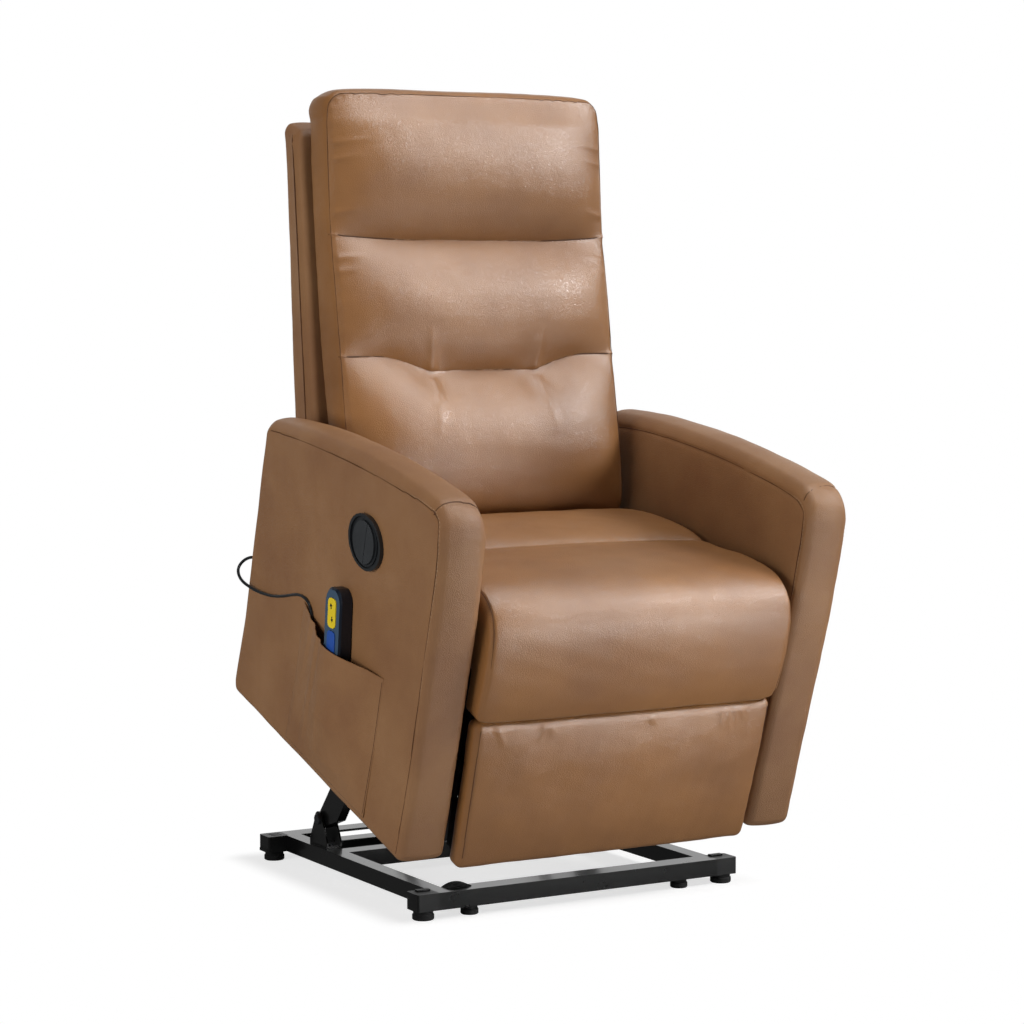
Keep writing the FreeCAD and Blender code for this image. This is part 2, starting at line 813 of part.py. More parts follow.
def leg_stay():
    x1 = layer_two + leg_bar_sheet
    flat = bar(layer_two, x1, leg_stay_start, leg_stay_end, leg_bar_half)
    ends = [leg_stay_start, leg_stay_end]
    return flat.cut(holes(layer_two, x1, ends, rivet_radius + running_clearance))


def leg_bracket():
    """Bracket behind the leg rest: a link plate with a flange screwed to the board."""
    x1 = layer_one + leg_bar_sheet
    plate = bar(layer_one, x1, leg_coupler_end, leg_stay_end, leg_bar_half)
    tab = box(layer_one, x1, leg_flange_y - 6, leg_flange_y + 14,
              leg_coupler_end[1] + 20, leg_stay_end[1] + 6)
    flange = box(plate_x - 26, x1, leg_flange_y, leg_flange_y + 3,
                 leg_coupler_end[1] + 20, leg_stay_end[1] + 6)
    return fuse([plate, tab, flange, rivet(leg_coupler_end, layer_one),
                 rivet(leg_stay_end, layer_one)])


def leg_torque_tube():
    reach = layer_one + leg_bar_sheet
    tube = rod_x(-reach, reach, *leg_pivot, leg_tube_radius)
    bore = rod_x(-reach, reach, *leg_pivot, leg_tube_radius - 2.5)
    arms = crank(leg_pivot, leg_tube_radius, leg_crank_length, -90.0 + leg_half_turn)
    return fuse([tube, arms]).cut(bore)


def side_plate():
    """Pressed side plate: carries the tubes, the leg rest pivots, the lift pivot and the
    back hinge, with lightening windows."""
    x1 = plate_x + plate_thickness
    edge = [
        (40, 284), (40, 6), ((44, -2), (52, -4)), (66, -4), ((74, -2), (78, 6)),
        (84, 84), (110, 112), (190, 96), (262, 30), (300, 2),
        (chair_pivot_y - 14, chair_pivot_z - 22),
        ((chair_pivot_y + 6, chair_pivot_z - 25), (chair_pivot_y + 25, chair_pivot_z - 8)),
        (404, 72), (470, 150), (540, 222), (hinge_y, hinge_z - 22),
        ((hinge_y + 22, hinge_z), (hinge_y, hinge_z + 22)), (505, 284), (40, 284),
    ]
    plate = sheet(plate_x, x1, edge)
    windows = [
        bar(plate_x - 1, x1 + 1, (150, 200), (200, 200), 22),
        bar(plate_x - 1, x1 + 1, (300, 190), (380, 190), 26),
        bar(plate_x - 1, x1 + 1, (330, 95), (372, 118), 16),
    ]
    seats = holes(plate_x, x1, [(front_tube_y, front_tube_z), (mid_tube_y, mid_tube_z),
                                (back_tube_y, back_line_z), (rear_tube_y, leg_line_z)],
                  cross_tube_radius + seat_touch)
    turning = holes(plate_x, x1, [leg_pivot], leg_tube_radius + running_clearance)
    turning += holes(plate_x, x1, [(chair_pivot_y, chair_pivot_z)],
                     stub_radius + running_clearance)
    pins = holes(plate_x, x1, [leg_second], rivet_radius + seat_touch)
    pins += holes(plate_x, x1, [(hinge_y, hinge_z)], pivot_bolt_radius + seat_touch)
    return plate.cut(windows + seats + turning + pins)


def cross_tube(y, z):
    reach = plate_x + plate_thickness
    tube = rod_x(-reach, reach, y, z, cross_tube_radius)
    return tube.cut(rod_x(-reach, reach, y, z, cross_tube_radius - 2))


def clevis(y, z, tip_y, tip_z, x_centre):
    """Ears on a cross tube either side of a drive's tongue."""
    ears = []
    for x in (x_centre - 11, x_centre + 7):
        ears.append(bar(x, x + 4, (y, z), (tip_y, tip_z), cross_tube_radius + 3, 9))
    return ears


def cross_tubes():
    """Four tubes between the side plates, with the ears that carry links and drives."""
    link_at = (link_chair_y, link_chair_z)
    front = fuse([cross_tube(front_tube_y, front_tube_z)]
                 + clevis(front_tube_y, front_tube_z, front_tube_y, lift_line_z, 0.0))
    front_pin = rod_x(-11, 11, front_tube_y, lift_line_z, cross_tube_radius)
    ears = []
    inner = front_link_x - link_ear_gap - link_ear_sheet
    outer = front_link_x + front_link_thickness + link_ear_gap
    for x in (inner, outer):
        ears.extend(pair(bar(x, x + link_ear_sheet, (mid_tube_y, mid_tube_z), link_at, 14, 12)))
    pin = rod_x(inner - 2, outer + link_ear_sheet + 2, *link_at, link_pin_radius)
    mid = fuse([cross_tube(mid_tube_y, mid_tube_z)] + ears + pair(pin))
    bore = rod_x(-plate_x, plate_x, mid_tube_y, mid_tube_z, cross_tube_radius - 2)
    return [fuse([front, front_pin]), mid.cut(bore), cross_tube(back_tube_y, back_line_z),
            cross_tube(rear_tube_y, leg_line_z)]


def mechanism_pins():
    """Pins that the leg rest control bars and the back hinge turn on."""
    lower = rod_x(plate_x - 2, layer_one + leg_bar_sheet + 0.5, *leg_second, rivet_radius)
    head_x = layer_one + leg_bar_sheet + 0.5
    head = rod_x(head_x, head_x + 1.2, *leg_second, rivet_radius + 2)
    hinge_x = hinge_plate_x - 3
    hinge = rod_x(hinge_x, plate_x + plate_thickness + 4, hinge_y, hinge_z, pivot_bolt_radius)
    nut = rod_x(plate_x + plate_thickness, plate_x + plate_thickness + 6, hinge_y, hinge_z, 10.0)
    return pair(fuse([lower, head])) + pair(fuse([hinge, nut]))


def arm_at(height, base):
    """Half width of an arm face at a height above the arm's bottom."""
    return base + arm_flare * height / arm_height


def arm_spacers():
    """Spacers and bolts between the side plates and the arms."""
    spacers = []
    for y, z in ((250.0, 262.0), (440.0, 240.0), (430.0, 128.0)):
        reach = arm_at(z - 9, arm_inner)
        spacers.extend(pair(rod_x(plate_x + plate_thickness, reach, y, z, 9.0)))
    return spacers


def seat_frame():
    """Timber box: front board, two side rails, rear rail."""
    half = plate_x
    inner = half - frame_board
    rails = [
        box(-half, half, frame_front_y, frame_front_y + frame_board, frame_bottom_z, frame_top_z),
        box(-half, half, frame_rear_y - frame_board, frame_rear_y, frame_bottom_z, frame_top_z),
    ]
    for side in pair(box(inner, half, frame_front_y, frame_rear_y, frame_bottom_z, frame_top_z)):
        rails.append(side)
    return fuse(rails)


def seat_straps():
    """Elastic webbing over the seat box."""
    straps = []
    pitch = (2 * plate_x - strap_width) / strap_count
    for index in range(strap_count):
        x = (index - (strap_count - 1) / 2) * pitch
        straps.append(box(x - strap_width / 2, x + strap_width / 2, frame_front_y, frame_rear_y,
                          frame_top_z, frame_top_z + strap_thickness))
    return straps


def build_mechanism():
    plate = side_plate()
    save("side_plate_right", [plate])
    save("side_plate_left", [mirrored(plate)])
    save("cross_tubes", cross_tubes())
    save("mechanism_pins", mechanism_pins())
    save("arm_spacers", arm_spacers())
    save("seat_frame", [seat_frame()])
    save("seat_straps", seat_straps())
    save("legrest_bars", pair(leg_bar()))
    save("legrest_torque_tube", [leg_torque_tube()])
    save("legrest_control_bars", pair(leg_control_bar()))
    save("legrest_couplers", pair(leg_coupler()))
    save("legrest_stays", pair(leg_stay()))
    save("legrest_brackets", pair(leg_bracket()))


# Upholstery


def arm_steps(shrink):
    """Side outline of an arm; shrink draws in its front and top for the padded crown, and
    its foot and back less."""
    s = shrink
    b = shrink * 0.4
    rear = arm_depth - b
    top = arm_rear_height - s
    return [
        (8 + s, b),
        (rear - 18, b),
        ((rear - 5, b + 5), (rear, b + 18)),
        (rear - 10, top - 20),
        ((rear - 14, top - 6), (rear - 27, top)),
        ((330, arm_height - 22 - s), (72, arm_height - s)),
        ((30 + s * 0.7, arm_height - 11 - s * 0.7), (14 + s, arm_height - 48)),
        ((4 + s, 380), (s, 250)),
        (s, 8 + b),
        ((2 + s, 2 + b), (8 + s, b)),
    ]


def flared(x_base, steps):
    """Outline on a face that leans outwards with height."""
    wire = outline(0.0, steps)
    matrix = FreeCAD.Matrix()
    matrix.A13 = arm_flare / arm_height
    matrix.A14 = x_base
    return wire.transformGeometry(matrix)


def arm_body():
    """Upholstered arm: flat faces, front and top band crowned between its two seams."""
    bends = ((0.0, 1.0), (0.16, 0.55), (0.5, 0.2), (1.0, 0.0))
    sections = [(arm_inner + share * arm_round, drop) for share, drop in bends]
    sections += [(arm_outer - share * arm_round, drop) for share, drop in reversed(bends)]
    outlines = [flared(x, arm_steps(drop * arm_crown)) for x, drop in sections]
    return fuse([Part.makeLoft([low, high], True, True)
                 for low, high in zip(outlines, outlines[1:])])


def crowned(half_width, sections, profile, behind):
    """Cushion lofted across X through side profiles, trimmed flat along what it sits on.
    Each section is (share of the half width, share of the full crown)."""
    wires = []
    for share, crown in sections:
        wires.append(outline(share * half_width, profile(crown)))
    body = Part.makeLoft(wires, True, False)
    return body.cut(sheet(-half_width - 5, half_width + 5, behind))


cushion_sections = [
    (-1.0, 0.0), (-0.96, 0.4), (-0.84, 0.75), (-0.5, 0.95), (0.0, 1.0),
    (0.5, 0.95), (0.84, 0.75), (0.96, 0.4), (1.0, 0.0),
]


def seat_profile(crown):
    """Side profile of the seat cushion: front roll, top with one sewn cross channel."""
    d = 10 * (1 - crown)
    rise = 10 * crown
    front = seat_front_y + d
    crest = seat_crest_z - 12 - d
    inside = frame_front_y - soft_gap
    return [
        (inside + 3, seat_bottom_z + 1),
        (front + 22, seat_bottom_z),
        ((front + 9, seat_bottom_z + 5), (front + 3, seat_bottom_z + 18)),
        ((front - rise * 0.5, 300), (front + 6, 368)),
        ((front + 32, crest - 3), (82, crest + rise)),
        ((160, crest - 8 + rise), (236, seat_crest_z - 34 - d)),
        ((345, 380 - d + rise * 1.2), (seat_rear_y - 8, seat_rear_z - d)),
        ((seat_rear_y, 326), (seat_rear_y - 11, seat_deck_z - 3)),
        (inside + 3, seat_deck_z - 3),
        (inside + 3, seat_bottom_z + 1),
    ]


def pad_profile(crown):
    """Side profile of the leg rest pad."""
    d = 7 * (1 - crown)
    bulge = 5 * crown
    front = pad_front_y + d
    return [
        (pad_back_y, pad_bottom_z + 4),
        (pad_back_y - 10, pad_bottom_z + d * 0.5),
        ((front + 12, pad_bottom_z + 6 + d * 0.5), (front + 4, pad_bottom_z + 24)),
        ((front - bulge, 100), (front + 4, pad_top_z - 18)),
        ((front + 10, pad_top_z - 6 - d * 0.5), (front + 26, pad_top_z - 1 - d * 0.5)),
        (pad_back_y + 4, pad_top_z - 3),
        (pad_back_y + 4, pad_bottom_z + 4),
        (pad_back_y, pad_bottom_z + 4),
    ]


def pad_back_board():
    half = seat_half_width - 14
    plate = box(-half, half, pad_back_y, pad_back_y + pad_board, pad_bottom_z + 10,
                pad_top_z - 10)
    corners = [e for e in plate.Edges if e.BoundBox.YLength > 5]
    return plate.makeFillet(12.0, corners)


def shell_front(z):
    """Front face of the back shell, as y at a height."""
    return 627 + 0.453 * (z - 457)


def shell_rear(z):
    return 707 + 0.389 * (z - 437)


def back_profile(crown):
    """Side profile of the back cushion: three puffed sections between two sewn channels."""
    puff = crown
    return [
        (shell_front(360) + 3, 356),
        ((498, 336), (474, 358)),
        ((517 - 30 * puff, 478 + 10 * puff), (588, 586)),
        ((629 - 25 * puff, 676 + 8 * puff), (677, 763)),
        ((714 - 24 * puff, 858 + 10 * puff), (750, 940)),
        ((777, 960 + 19 * puff), (806, 948)),
        ((819, 925), (shell_front(880) + 3, 880)),
        (shell_front(360) + 3, 356),
    ]


def back_block():
    """Block with rounded rear and top edges, leaned to lie along the shell's rear face."""
    lean = math.atan((shell_rear(1) - shell_rear(0)) / 1.0)
    height = (shell_top_z - shell_bottom_z) / math.cos(lean) + 40
    block = box(-back_half_width, back_half_width, -160, 0, -40, height - 40)
    rounded = []
    for edge in block.Edges:
        span = edge.BoundBox
        upright_rear = span.ZLength > 100 and span.YMax > -1
        top = span.ZMin > height - 41 and span.YMax > -1
        if upright_rear or top:
            rounded.append(edge)
    block = block.makeFillet(shell_edge, rounded)
    block.rotate(FreeCAD.Vector(0, 0, 0), FreeCAD.Vector(1, 0, 0), -math.degrees(lean))
    block.translate(FreeCAD.Vector(0, shell_rear(shell_bottom_z), shell_bottom_z))
    return block


def back_shell():
    """Upholstered back frame, with the flap that closes the chair behind the seat box."""
    half = back_half_width + 1
    body = sheet(-half, half, [
        (shell_front(shell_bottom_z), shell_bottom_z),
        (shell_rear(shell_bottom_z) + 1, shell_bottom_z),
        (shell_rear(shell_top_z) + 1, shell_top_z),
        ((842, shell_top_z - 3), (shell_front(shell_top_z - 16), shell_top_z - 16)),
        (shell_front(shell_bottom_z), shell_bottom_z),
    ])
    body = body.common(back_block())
    flap = sheet(-flap_half_width, flap_half_width, [
        (shell_rear(shell_bottom_z) - flap_thickness, shell_bottom_z),
        (shell_rear(shell_bottom_z), shell_bottom_z),
        (shell_rear(flap_bottom_z), flap_bottom_z),
        (shell_rear(flap_bottom_z) - flap_thickness, flap_bottom_z),
        (shell_rear(shell_bottom_z) - flap_thickness, shell_bottom_z),
    ])
    slots = pair(upright(seat_touch))
    return fuse([body, flap]).cut(slots)


def upright(play):
    """Flat bar from the back hinge up into the shell."""
    top = (shell_front(upright_top_z) + 46, upright_top_z)
    return bar(hinge_plate_x - play, hinge_plate_x + hinge_plate + play, (hinge_y, hinge_z), top,
               upright_half + 4 + play, upright_half + play)


def back_frame():
    """Hinge uprights, the tube between them and the drive's lever."""
    tube = rod_x(-hinge_plate_x, hinge_plate_x, hinge_y, hinge_z, back_tube_radius)
    bore = rod_x(-hinge_plate_x, hinge_plate_x, hinge_y, hinge_z, back_tube_radius - 2.5)
    lever = crank((hinge_y, hinge_z), back_tube_radius, back_lever_length,
                  -90.0 + back_half_turn, back_drive_x)
    pin_hole = rod_x(hinge_plate_x - 10, hinge_plate_x + 10, hinge_y, hinge_z,
                     pivot_bolt_radius + running_clearance)
    frame = fuse([tube, lever] + pair(upright(0.0)))
    return frame.cut([bore] + pair(pin_hole))


def build_upholstery():
    arm = arm_body()
    save("arm_right", [arm])
    save("arm_left", [mirrored(arm)])
    under_seat = [
        (frame_front_y - soft_gap, seat_bottom_z - 20), (600, seat_bottom_z - 20),
        (600, seat_deck_z), (frame_front_y - soft_gap, seat_deck_z),
        (frame_front_y - soft_gap, seat_bottom_z - 20),
    ]
    save("seat_cushion", [crowned(seat_half_width, cushion_sections, seat_profile, under_seat)])
    behind_pad = [
        (pad_back_y, -100), (100, -100), (100, 400), (pad_back_y, 400), (pad_back_y, -100),
    ]
    save("legrest_pad", [crowned(seat_half_width, cushion_sections, pad_profile, behind_pad)])
    save("legrest_board", [pad_back_board()])
    behind_back = [
        (shell_front(200) - soft_gap, 200), (900, 200), (1200, 1100),
        (shell_front(1100) - soft_gap, 1100), (shell_front(200) - soft_gap, 200),
    ]
    save("back_cushion", [crowned(back_cushion_half, cushion_sections, back_profile,
                                  behind_back)])
    save("back_shell", [back_shell()])
    save("back_frame", [back_frame()])


# Pocket, switch, handset and its cord


def arm_side(height):
    """X of the left arm's outer face at a height."""
    return -arm_at(height, arm_outer)


def pocket_plan(z, grow):
    """Level section of the pocket at height z; grow moves its outer side in or out."""
    wall = arm_side(z)
    fill = 1.0 - 0.75 * max(0.0, (120.0 - z) / 120.0)
    slack = 3.0 + pocket_slack * fill + grow
    bulge = 3.0 + pocket_bulge * fill + grow
    front = pocket_front_y - grow
    rear = pocket_rear_y + grow
    plan = [
        (wall, front), (wall - 3.0 - grow, front), (wall - slack, front + 60), (wall - bulge, 214),
        (wall - bulge, 306), (wall - slack, 345), (wall - slack, rear - 25),
        (wall - 3.0 - grow, rear), (wall, rear), (wall, front),
    ]
    points = [FreeCAD.Vector(x, y, z) for x, y in plan]
    return Part.makePolygon(points)


def pocket():
    """Sewn pouch, open at the top, whose mouth dips where the handset goes in."""
    levels = (pocket_bottom_z, 120.0, pocket_top_z + 30)
    outer = Part.makeLoft([pocket_plan(z, 0.0) for z in levels], True, True)
    inner_levels = (pocket_bottom_z + pocket_sheet, 120.0, pocket_top_z + 31)
    inner = Part.makeLoft([pocket_plan(z, -pocket_sheet) for z in inner_levels], True, True)
    mouth = [
        (60, 400), (60, pocket_top_z + 16), (pocket_front_y, pocket_top_z + 12),
        ((pocket_front_y + 140, pocket_top_z - 1), (pocket_rear_y, pocket_top_z + 15)),
        (pocket_rear_y + 60, pocket_top_z + 26), (pocket_rear_y + 60, 400), (60, 400),
    ]
    above = sheet(-500, -300, mouth)
    return outer.cut(inner).cut(above)


def oval(x0, x1, half_y, half_z):
    """Elliptical disc on the arm's side, longer along Y than along Z."""
    edge = Part.Ellipse(FreeCAD.Vector(0, 0, 0), half_y, half_z).toShape()
    turn = FreeCAD.Rotation(FreeCAD.Vector(0, 1, 0), FreeCAD.Vector(0, 0, 1),
                            FreeCAD.Vector(1, 0, 0), "XYZ")
    edge.Placement = FreeCAD.Placement(FreeCAD.Vector(x0, switch_y, switch_z), turn)
    return Part.Face(Part.Wire([edge])).extrude(FreeCAD.Vector(x1 - x0, 0, 0))


switch_face = arm_side(switch_z)


def on_arm_face(shape):
    """Lean a piece drawn at the switch so that it seats flat on the flared arm."""
    leaned = shape.copy()
    angle = math.degrees(math.atan(arm_flare / arm_height))
    leaned.rotate(FreeCAD.Vector(switch_face, 0, switch_z), FreeCAD.Vector(0, 1, 0), -angle)
    return leaned


def button_blank(front):
    """One of the two switch keys: a wide rear key and a narrow front one."""
    x0 = switch_face - switch_height - 1.5
    disc = oval(x0, switch_face - 3.5, 35.0, 33.0)
    split = switch_y - 6
    if front:
        return disc.common(box(x0 - 5, 0, 0, split - button_clearance, 0, 900))
    return disc.common(box(x0 - 5, 0, split + button_clearance, 900, 0, 900))


def switch_bezel():
    """Oval plate with a raised rim and a well for the two keys."""
    x0 = switch_face - switch_height
    plate = oval(x0, switch_face, switch_half_length, switch_half_height)
    ring = oval(x0 - 1, switch_face - 5.5, switch_half_length - 6, switch_half_height - 4)
    hub = oval(x0 - 1, switch_face - 1.2, 35.0 + button_clearance, 33.0 + button_clearance)
    seat = oval(x0 + 1.5, switch_face - 4, 40.0, 37.0)
    return fuse([plate.cut(ring), seat]).cut(hub)


def handset_place(shape):
    """Stand the handset in the pocket: its own frame has z along its length."""
    middle = FreeCAD.Vector(arm_side(handset_z + 60) - handset_gap - handset_thickness / 2,
                            handset_y, handset_z)
    turn = FreeCAD.Rotation(FreeCAD.Vector(1, 0, 0), -handset_lean)
    placed = shape.copy()
    placed.transformShape(FreeCAD.Placement(middle, turn).toMatrix(), True)
    return placed


def handset_steps(shrink):
    """Face outline of the handset: rounded head, drawn in towards the cord end."""
    half = handset_width / 2 - shrink
    low = half - 6
    end = handset_length - shrink
    return [
        (-low + 8, shrink), (low - 8, shrink), ((low - 2, 3 + shrink), (low, 10)),
        (half, 70), (half, end - 24),
        ((half - 6, end - 7), (half - 18, end)), (-half + 18, end),
        ((-half + 6, end - 7), (-half, end - 24)), (-half, 70),
        (-low, 10), ((-low + 2, 3 + shrink), (-low + 8, shrink)),
    ]


def handset_body():
    """Wand with bevelled edges on both faces and a tapered cord gland below."""
    half = handset_thickness / 2
    levels = ((-half, handset_bevel), (-half + handset_bevel, 0.0),
              (half - handset_bevel, 0.0), (half, handset_bevel))
    wires = [outline(x, handset_steps(shrink)) for x, shrink in levels]
    body = Part.makeLoft(wires, True, True)
    gland = Part.makeCone(cord_radius + 1.2, cord_radius + 3.0, 20.0, FreeCAD.Vector(0, 0, -20))
    return fuse([body, gland])


def key_well(y0, y1, z0, z1, grow=0.0):
    """Rounded key on the outer face of the handset."""
    half_t = handset_thickness / 2
    lift = 0.0 if grow else 1.3
    block = box(-half_t - lift, -half_t + 2.4 + grow * 2, y0 - grow, y1 + grow, z0 - grow, z1 + grow)
    radius = min(y1 - y0, z1 - z0) * 0.32 + grow
    return block.makeFillet(radius, [e for e in block.Edges if e.BoundBox.XLength > 2])


handset_keys = {
    "handset_up_key": (-13.0, 13.0, 96.0, 142.0),
    "handset_down_key": (-13.0, 13.0, 54.0, 91.0),
    "handset_heat_key": (-10.0, 10.0, 32.0, 46.0),
}


def handset_case():
    wells = [key_well(*place, grow=0.5) for place in handset_keys.values()]
    return handset_body().cut(wells)


def cord_path():
    """Straight runs joined by tangent arcs, each as large as its two runs allow."""
    points = [FreeCAD.Vector(*p) for p in cord_route] + [below_gland(30.0), below_gland(0.0)]
    edges = []
    here = points[0]
    radii = []
    for before, corner, after in zip(points, points[1:], points[2:]):
        run_in = corner - before
        run_out = after - corner
        shorter = min(run_in.Length, run_out.Length)
        turn = run_in.getAngle(run_out)
        trim = 0.45 * shorter
        radii.append(trim / math.tan(turn / 2))
        start = corner - FreeCAD.Vector(run_in).normalize() * trim
        end = corner + FreeCAD.Vector(run_out).normalize() * trim
        centre_way = (start + end) * 0.5 - corner
        away = radii[-1] / math.cos(turn / 2) - radii[-1]
        via = corner + centre_way.normalize() * away
        edges.append(Part.makeLine(here, start))
        edges.append(Part.Arc(start, via, end).toShape())
        here = end
    edges.append(Part.makeLine(here, points[-1]))
    print("cord bend radii", " ".join("%.0f" % radius for radius in radii))
    print("cord length %.0f" % sum(edge.Length for edge in edges))
    return Part.Wire(edges)


def below_gland(drop):
    """Point on the gland's axis, drop below its end."""
    tip = handset_place(Part.Vertex(0, 0, -20.0 - drop))
    return tip.Vertexes[0].Point


def cord():
    path = cord_path()
    first = path.Edges[0]
    start = first.valueAt(first.FirstParameter)
    way = first.tangentAt(first.FirstParameter)
    circle = Part.Wire([Part.makeCircle(cord_radius, start, way)])
    tube = path.makePipeShell([circle], True, False)
    print("cord volume ratio %.4f" % (tube.Volume / (math.pi * cord_radius ** 2 * path.Length)))
    return tube


def grommet():
    """Flanged cable grommet on the arm's rear face, where the cord leaves it."""
    x, y, z = cord_route[0]
    wall_y = arm_depth - 6.0
    flange = rod_y(wall_y, y, x, z, grommet_radius)
    return flange.cut(arm_side_tool())


def arm_side_tool():
    """The left arm, used to trim what seats on it."""
    return mirrored(arm_body())


def control_box():
    """Sealed power box under the seat, hung from the rear cross tube by a strap."""
    half = control_width / 2
    top = leg_line_z - cross_tube_radius - control_drop
    block = box(control_x - half, control_x + half, rear_tube_y + 40 - control_length,
                rear_tube_y + 40, top - control_height, top)
    block = block.makeFillet(6.0, [e for e in block.Edges if e.BoundBox.ZLength > 10])
    strap = box(control_x - 15, control_x + 15, rear_tube_y - 14, rear_tube_y + 14, top - 2,
                leg_line_z - cross_tube_radius + 1)
    saddle = rod_x(control_x - 25, control_x + 25, rear_tube_y, leg_line_z,
                   cross_tube_radius + seat_touch)
    return fuse([block, strap]).cut(saddle)


def power_inlet():
    """Two-pole socket in the rear end of the power box."""
    y0 = rear_tube_y + 40
    z = leg_line_z - cross_tube_radius - control_drop - control_height / 2
    collar = rod_y(y0, y0 + 9, control_x, z, 11.0)
    recess = rod_y(y0 + 2, y0 + 10, control_x, z, 8.0)
    pins = [rod_y(y0 + 2, y0 + 7, control_x + dx, z, 1.5) for dx in (-3.5, 3.5)]
    return fuse([collar.cut(recess)] + pins)


def build_controls():
    save("storage_pocket", [pocket()])
    save("switch_bezel", [on_arm_face(switch_bezel())])
    save("switch_rear_key", [on_arm_face(button_blank(False))])
    save("switch_front_key", [on_arm_face(button_blank(True))])
    save("handset_case", [handset_place(handset_case())])
    for name, place in handset_keys.items():
        save(name, [handset_place(key_well(*place))])
    save("handset_cord", [cord()])
    save("cord_grommet", [grommet()])
    save("control_box", [control_box()])
    save("power_inlet", [power_inlet()])


build_base()
build_lift()
build_drives()
build_mechanism()
build_upholstery()
build_controls()
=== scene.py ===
import math

import bpy
import numpy as np
from mathutils import Euler, Matrix, Vector
from mathutils.bvhtree import BVHTree


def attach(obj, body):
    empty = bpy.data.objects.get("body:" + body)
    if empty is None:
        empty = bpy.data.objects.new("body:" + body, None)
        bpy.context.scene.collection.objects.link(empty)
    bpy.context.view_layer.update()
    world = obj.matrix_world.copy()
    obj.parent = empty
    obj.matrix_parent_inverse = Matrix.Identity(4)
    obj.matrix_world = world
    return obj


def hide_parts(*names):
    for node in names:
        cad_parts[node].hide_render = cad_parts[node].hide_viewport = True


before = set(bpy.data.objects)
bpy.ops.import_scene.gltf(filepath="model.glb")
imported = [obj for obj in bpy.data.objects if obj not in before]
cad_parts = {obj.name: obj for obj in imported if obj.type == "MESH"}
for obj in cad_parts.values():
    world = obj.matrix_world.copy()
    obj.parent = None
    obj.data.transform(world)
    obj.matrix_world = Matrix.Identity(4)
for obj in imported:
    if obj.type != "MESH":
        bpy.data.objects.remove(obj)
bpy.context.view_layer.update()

# Soft pieces are drawn in the chair's own frame, in millimetres: x across, y back from the
# arm fronts, z up from the arm bottoms. The chair stands tipped forward on its linkage.
tilt = math.radians(18.0)
chair_y = -0.341236
chair_z = 0.112015
sides = (("left", -1), ("right", 1))


def to_world(points):
    """World metres of points in the chair's frame."""
    p = np.asarray(points, float) / 1000.0
    y = p[:, 1] * math.cos(tilt) - p[:, 2] * math.sin(tilt) + chair_y
    z = p[:, 1] * math.sin(tilt) + p[:, 2] * math.cos(tilt) + chair_z
    return np.column_stack([p[:, 0], y, z])


def to_chair(points):
    """Millimetres in the chair's frame of points in the world."""
    p = np.asarray(points, float)
    y = p[:, 1] - chair_y
    z = p[:, 2] - chair_z
    back = y * math.cos(tilt) + z * math.sin(tilt)
    up = -y * math.sin(tilt) + z * math.cos(tilt)
    return np.column_stack([p[:, 0], back, up]) * 1000.0


# Shader nodes


def srgb(code):
    """Linear colour of a hexadecimal screen colour."""
    values = [int(code[i:i + 2], 16) / 255.0 for i in (0, 2, 4)]
    linear = [v / 12.92 if v <= 0.04045 else ((v + 0.055) / 1.055) ** 2.4 for v in values]
    return (*linear, 1.0)


def grey(value):
    return (value, value, value, 1.0)


def new_material(name):
    material = bpy.data.materials.new(name)
    material.use_nodes = True
    tree = material.node_tree
    return material, tree, tree.nodes["Principled BSDF"]


def plug(tree, made, inputs):
    """Set inputs of a node, each to a constant or to the output of another node."""
    for key, value in inputs.items():
        if isinstance(value, bpy.types.NodeSocket):
            tree.links.new(value, made.inputs[key])
        else:
            made.inputs[key].default_value = value


def node(tree, kind, inputs, output=0, **settings):
    """Output of a new shader node."""
    made = tree.nodes.new(kind)
    for key, value in settings.items():
        setattr(made, key, value)
    plug(tree, made, inputs)
    return made.outputs[output]


def place_in(tree, kind="Object"):
    """Texture coordinates."""
    return node(tree, "ShaderNodeTexCoord", {}, kind)


def noise(tree, scale, detail=3.0, roughness=0.55):
    return node(tree, "ShaderNodeTexNoise",
                {"Scale": scale, "Detail": detail, "Roughness": roughness,
                 "Vector": place_in(tree)}, "Fac")


def ramp(tree, source, stops):
    """Colour that follows a source from stop to stop."""
    made = tree.nodes.new("ShaderNodeValToRGB")
    elements = made.color_ramp.elements
    while len(elements) < len(stops):
        elements.new(0.5)
    for element, (place, color) in zip(elements, stops):
        element.position = place
        element.color = color
    plug(tree, made, {"Fac": source})
    return made.outputs["Color"]


def bump(tree, height, distance, strength, under=None):
    """Normal of a relief, laid over another one where that is given."""
    inputs = {"Distance": distance, "Strength": strength, "Height": height}
    if under is not None:
        inputs["Normal"] = under
    return node(tree, "ShaderNodeBump", inputs, "Normal")


# Materials


